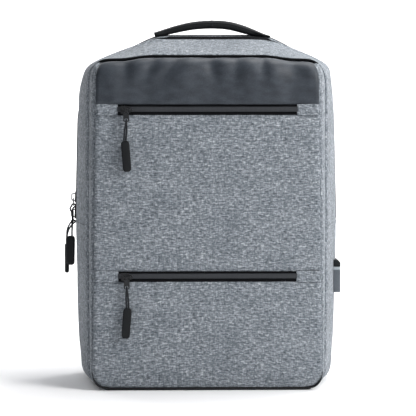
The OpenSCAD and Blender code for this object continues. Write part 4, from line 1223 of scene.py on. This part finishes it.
def open_pouch(name, x0, x1, y0, y1, z0, z1, node, belly):
    """A sewn pouch, open at the top, with a turned hem round its mouth."""
    outline, r = [], 4.0
    for cx, cy, start in ((x1 - r, y0 + r, -90), (x1 - r, y1 - r, 0), (x0 + r, y1 - r, 90), (x0 + r, y0 + r, 180)):
        outline += quarter_turn(cx, cy, r, start, 4)
    loop = filled_in(outline, 8)
    loop.append(loop[0])
    cx, cy = (x0 + x1) / 2, (y0 + y1) / 2
    rows = [[Vector((mix(cx, x, s), mix(cy, y, s), z0)) for x, y in loop] for s in (0.02, 0.5, 0.9)]
    levels = [z0 + 1.5] + [mix(z0 + 4, z1 - 8, k / 20) for k in range(21)] + [z1 - 6, z1 - 3, z1]
    for z in levels:
        t = (z - z0) / (z1 - z0)
        swell = belly * math.sin(math.pi * t)
        rows.append([Vector((x, y + (swell if y < cy else 0) * -0.6 * math.sin(math.pi * (x - x0) / (x1 - x0)), z))
                     for x, y in loop])

    def rise(u, v, p):
        return 0.4 * ripple(p, 30, 71) + (0.7 if p.z > z1 - 9 else 0.0)

    pouch = sheet_mesh(name, [rows], rise, away=(cx, cy, mix(z0, z1, 0.4)), thick=1.4)
    piece = finished(name, pouch, LINING, "bag", [node])


open_pouch("laptop_sleeve_sewn", -123.2, 123.2, 33.8, 58.2, 9.5, 298, "laptop_sleeve", 2.0)
open_pouch("battery_pocket_sewn", 116.8, 133.2, -13.2, 29.2, 11.5, 77.2, "battery_pocket", 0.4)


# ---- hard pieces modelled on primitives ----
def start_cube(name, size):
    bpy.ops.object.select_all(action="DESELECT")
    bpy.ops.mesh.primitive_cube_add(size=1, location=(0, 0, 0))
    piece = bpy.context.active_object
    piece.name = name
    piece.scale = Vector(size) * MM
    bpy.ops.object.transform_apply(location=False, rotation=False, scale=True)
    return piece


def bevelled(piece, width_mm, segments=3, angle=30):
    bevel = piece.modifiers.new("edges", "BEVEL")
    bevel.width, bevel.segments, bevel.limit_method, bevel.angle_limit = (
        width_mm * MM, segments, "ANGLE", math.radians(angle))
    bpy.ops.object.modifier_apply(modifier="edges")


def select_faces(piece, test):
    """Leaves the piece in edit mode with only the faces selected that pass the test."""
    bpy.ops.object.mode_set(mode="EDIT")
    bpy.ops.mesh.select_all(action="DESELECT")
    shell = bmesh.from_edit_mesh(piece.data)
    for face in shell.faces:
        face.select_set(test(face))
    bmesh.update_edit_mesh(piece.data)


def rename_piece(piece, name, material, body, replaces=(), stop_deg=40):
    mesh = piece.data
    bpy.data.objects.remove(piece)
    mesh.name = name
    return finished(name, mesh, material, body, replaces, stop_deg=stop_deg)


def placed(piece, matrix):
    """Sets a finished shape down where it belongs, in its mesh."""
    piece.data.transform(matrix)
    piece.data.update()


GRIP_L = 26.6  # the straight middle of a grip
GRIP_ENDS = ((1.4, 0.95), (1.3, 0.84), (1.0, 0.62))  # each step further out, and how much narrower it is


def pull_grip(name, tilt_deg, turn_deg, shift=(0, 0, 0)):
    """A moulded pull of near full width from its short shoulders to its rounded foot, with a hollowed face."""
    place, slot, body, route = PULLS[name]
    across, out, below = route[-1]
    piece = start_cube(name, (9.2, 4.4, GRIP_L))
    for end in (1, -1):
        select_faces(piece, lambda f: f.normal.z * end > 0.9)
        for step, narrower in GRIP_ENDS:
            bpy.ops.mesh.extrude_region_move(TRANSFORM_OT_translate={"value": (0, 0, end * step * MM)})
            bpy.ops.transform.resize(value=(narrower, mix(narrower, 1, 0.5), 1))
    select_faces(piece, lambda f: abs(f.normal.y) > 0.9 and abs(f.calc_center_median().z) < 0.010)
    bpy.ops.mesh.inset(use_individual=True, thickness=1.6 * MM, depth=-0.5 * MM)
    bpy.ops.object.mode_set(mode="OBJECT")
    bevelled(piece, 0.7, 3, 20)
    top = GRIP_L / 2 + sum(step for step, _ in GRIP_ENDS)
    where = place((across, -out, slot - below)) * MM
    matrix = (Matrix.Translation(where + Vector(shift) * MM) @ Matrix.Rotation(math.radians(turn_deg), 4, "Z")
              @ Matrix.Rotation(math.radians(tilt_deg), 4, "Y") @ Matrix.Translation(Vector((0, 0, -top * MM))))
    placed(piece, matrix)
    return rename_piece(piece, name + "_moulded_grip", GRIP_RUBBER, body, [name + "_grip"])


pull_grip("upper_pocket", -4.5, 0, (0, -0.3, 0))
pull_grip("lower_pocket", 4.5, 0, (0, -0.3, 0))
pull_grip("main_upper", 1.5, -22, (-1.2, 0, 0))
pull_grip("main_lower", 2.0, -78, (0, 0, 0))


def softened_copy(node, name, materials, body, bevel_mm, cut_z=None, angle=35):
    """A merged copy of a hard CAD part with softened edges, and a second material above a height."""
    source = bpy.data.objects[node]
    mesh = source.data.copy()
    mesh.transform(source.matrix_world)
    mesh.materials.clear()
    holder = linked(name, mesh)
    take_up(holder)
    bpy.ops.object.mode_set(mode="EDIT")
    bpy.ops.mesh.select_all(action="SELECT")
    bpy.ops.mesh.remove_doubles(threshold=0.02 * MM)
    bpy.ops.mesh.dissolve_limited(angle_limit=math.radians(2))
    if cut_z is not None:
        bpy.ops.mesh.select_all(action="SELECT")
        bpy.ops.mesh.bisect(plane_co=(0, 0, cut_z * MM), plane_no=(0, 0, 1))
    bpy.ops.object.mode_set(mode="OBJECT")
    bevelled(holder, bevel_mm, 2, angle)
    if cut_z is not None:
        for polygon in holder.data.polygons:
            polygon.material_index = 1 if polygon.center.z > cut_z * MM else 0
    return rename_piece(holder, name, materials, body, [node])


# Above z 128 the housing takes the lighter grey, a painted highlight along its top step.
softened_copy("port_housing", "port_housing_moulded", [PORT_ABS, PORT_PAINTED_HIGHLIGHT], "bag", 0.35, 128.0)
softened_copy("port_cover", "port_cover_soft", [COVER_TPE], "port_cover", 0.5)
softened_copy("left_ladder_lock", "left_ladder_lock_moulded", [ABS], "left_strap", 0.5)
softened_copy("right_ladder_lock", "right_ladder_lock_moulded", [ABS], "right_strap", 0.5)

# ---- finishes for the CAD parts that stay ----
STAYING = {
    LACQUER: ["upper_pocket_slider", "upper_pocket_tab", "lower_pocket_slider", "lower_pocket_tab",
              "main_upper_slider", "main_upper_tab", "main_lower_slider", "main_lower_tab"],
    ABS: ["port_backplate", "charging_plug", "base_board"],
    NICKEL: ["socket_shell", "port_screws"],
    TONGUE: ["socket_tongue"],
}
for material, names in STAYING.items():
    for node_name in names:
        node = bpy.data.objects[node_name]
        for slot in node.material_slots:
            slot.material = material
        if not node.material_slots:
            node.data.materials.append(material)

# ---- stage and light ----
sweep = bpy.data.meshes.new("studio_sweep")
turns = [math.radians(a) for a in range(10, 91, 10)]
profile = [(-3.0, 0.0), (1.6, 0.0)] + [(1.6 + 0.8 * math.sin(a), 0.8 - 0.8 * math.cos(a)) for a in turns]
profile.append((2.4, 4.0))
sweep.from_pydata([(x, y, z) for y, z in profile for x in (-4.0, 4.0)], [],
                  [(2 * i, 2 * i + 1, 2 * i + 3, 2 * i + 2) for i in range(len(profile) - 1)])
stage_material, stage_tree, stage_shader = shader("white_paper_sweep", Roughness=0.9, Specular_IOR_Level=0.1)
paper = add(stage_tree, "ShaderNodeTexNoise", {"Scale": 40.0, "Detail": 3.0})
stage_tree.links.new(ramp(stage_tree, paper.outputs["Fac"], [(0.3, "#f6f6f7"), (0.7, "#fbfbfc")]),
                     stage_shader.inputs["Base Color"])
sweep.materials.append(stage_material)
stage = linked("studio_sweep", sweep)
for polygon in sweep.polygons:
    polygon.use_smooth = True


def soft_light(name, place, aim, size, power, colour=(1, 1, 1)):
    data = bpy.data.lights.new(name, "AREA")
    data.shape, data.size, data.energy, data.color = "DISK", size, power, colour
    light = bpy.data.objects.new(name, data)
    light.location = place
    light.rotation_mode = "QUATERNION"
    light.rotation_quaternion = (Vector(aim) - Vector(place)).to_track_quat("-Z", "Y")
    scene.collection.objects.link(light)


soft_light("key_softbox", (1.15, -0.75, 1.05), (0.05, 0, 0.25), 0.7, 25, (1.0, 0.99, 0.98))
soft_light("fill_softbox", (0.3, -2.3, 0.9), (0, 0, 0.2), 1.2, 7.5, (0.94, 0.97, 1.0))
soft_light("top_softbox", (0.35, 0.2, 1.6), (0.05, 0.0, 0.35), 0.9, 19)
for side in (-1, 1):
    soft_light(f"backdrop_light_{side}", (side * 1.3, 1.2, 1.2), (side * 0.3, 2.3, 0.4), 1.0, 34)
scene.view_settings.view_transform = "Standard"
world = bpy.data.worlds.new("studio")
scene.world = world
world.use_nodes = True
world.node_tree.nodes["Background"].inputs["Color"].default_value = (0.93, 0.96, 1.0, 1)
world.node_tree.nodes["Background"].inputs["Strength"].default_value = 0.16
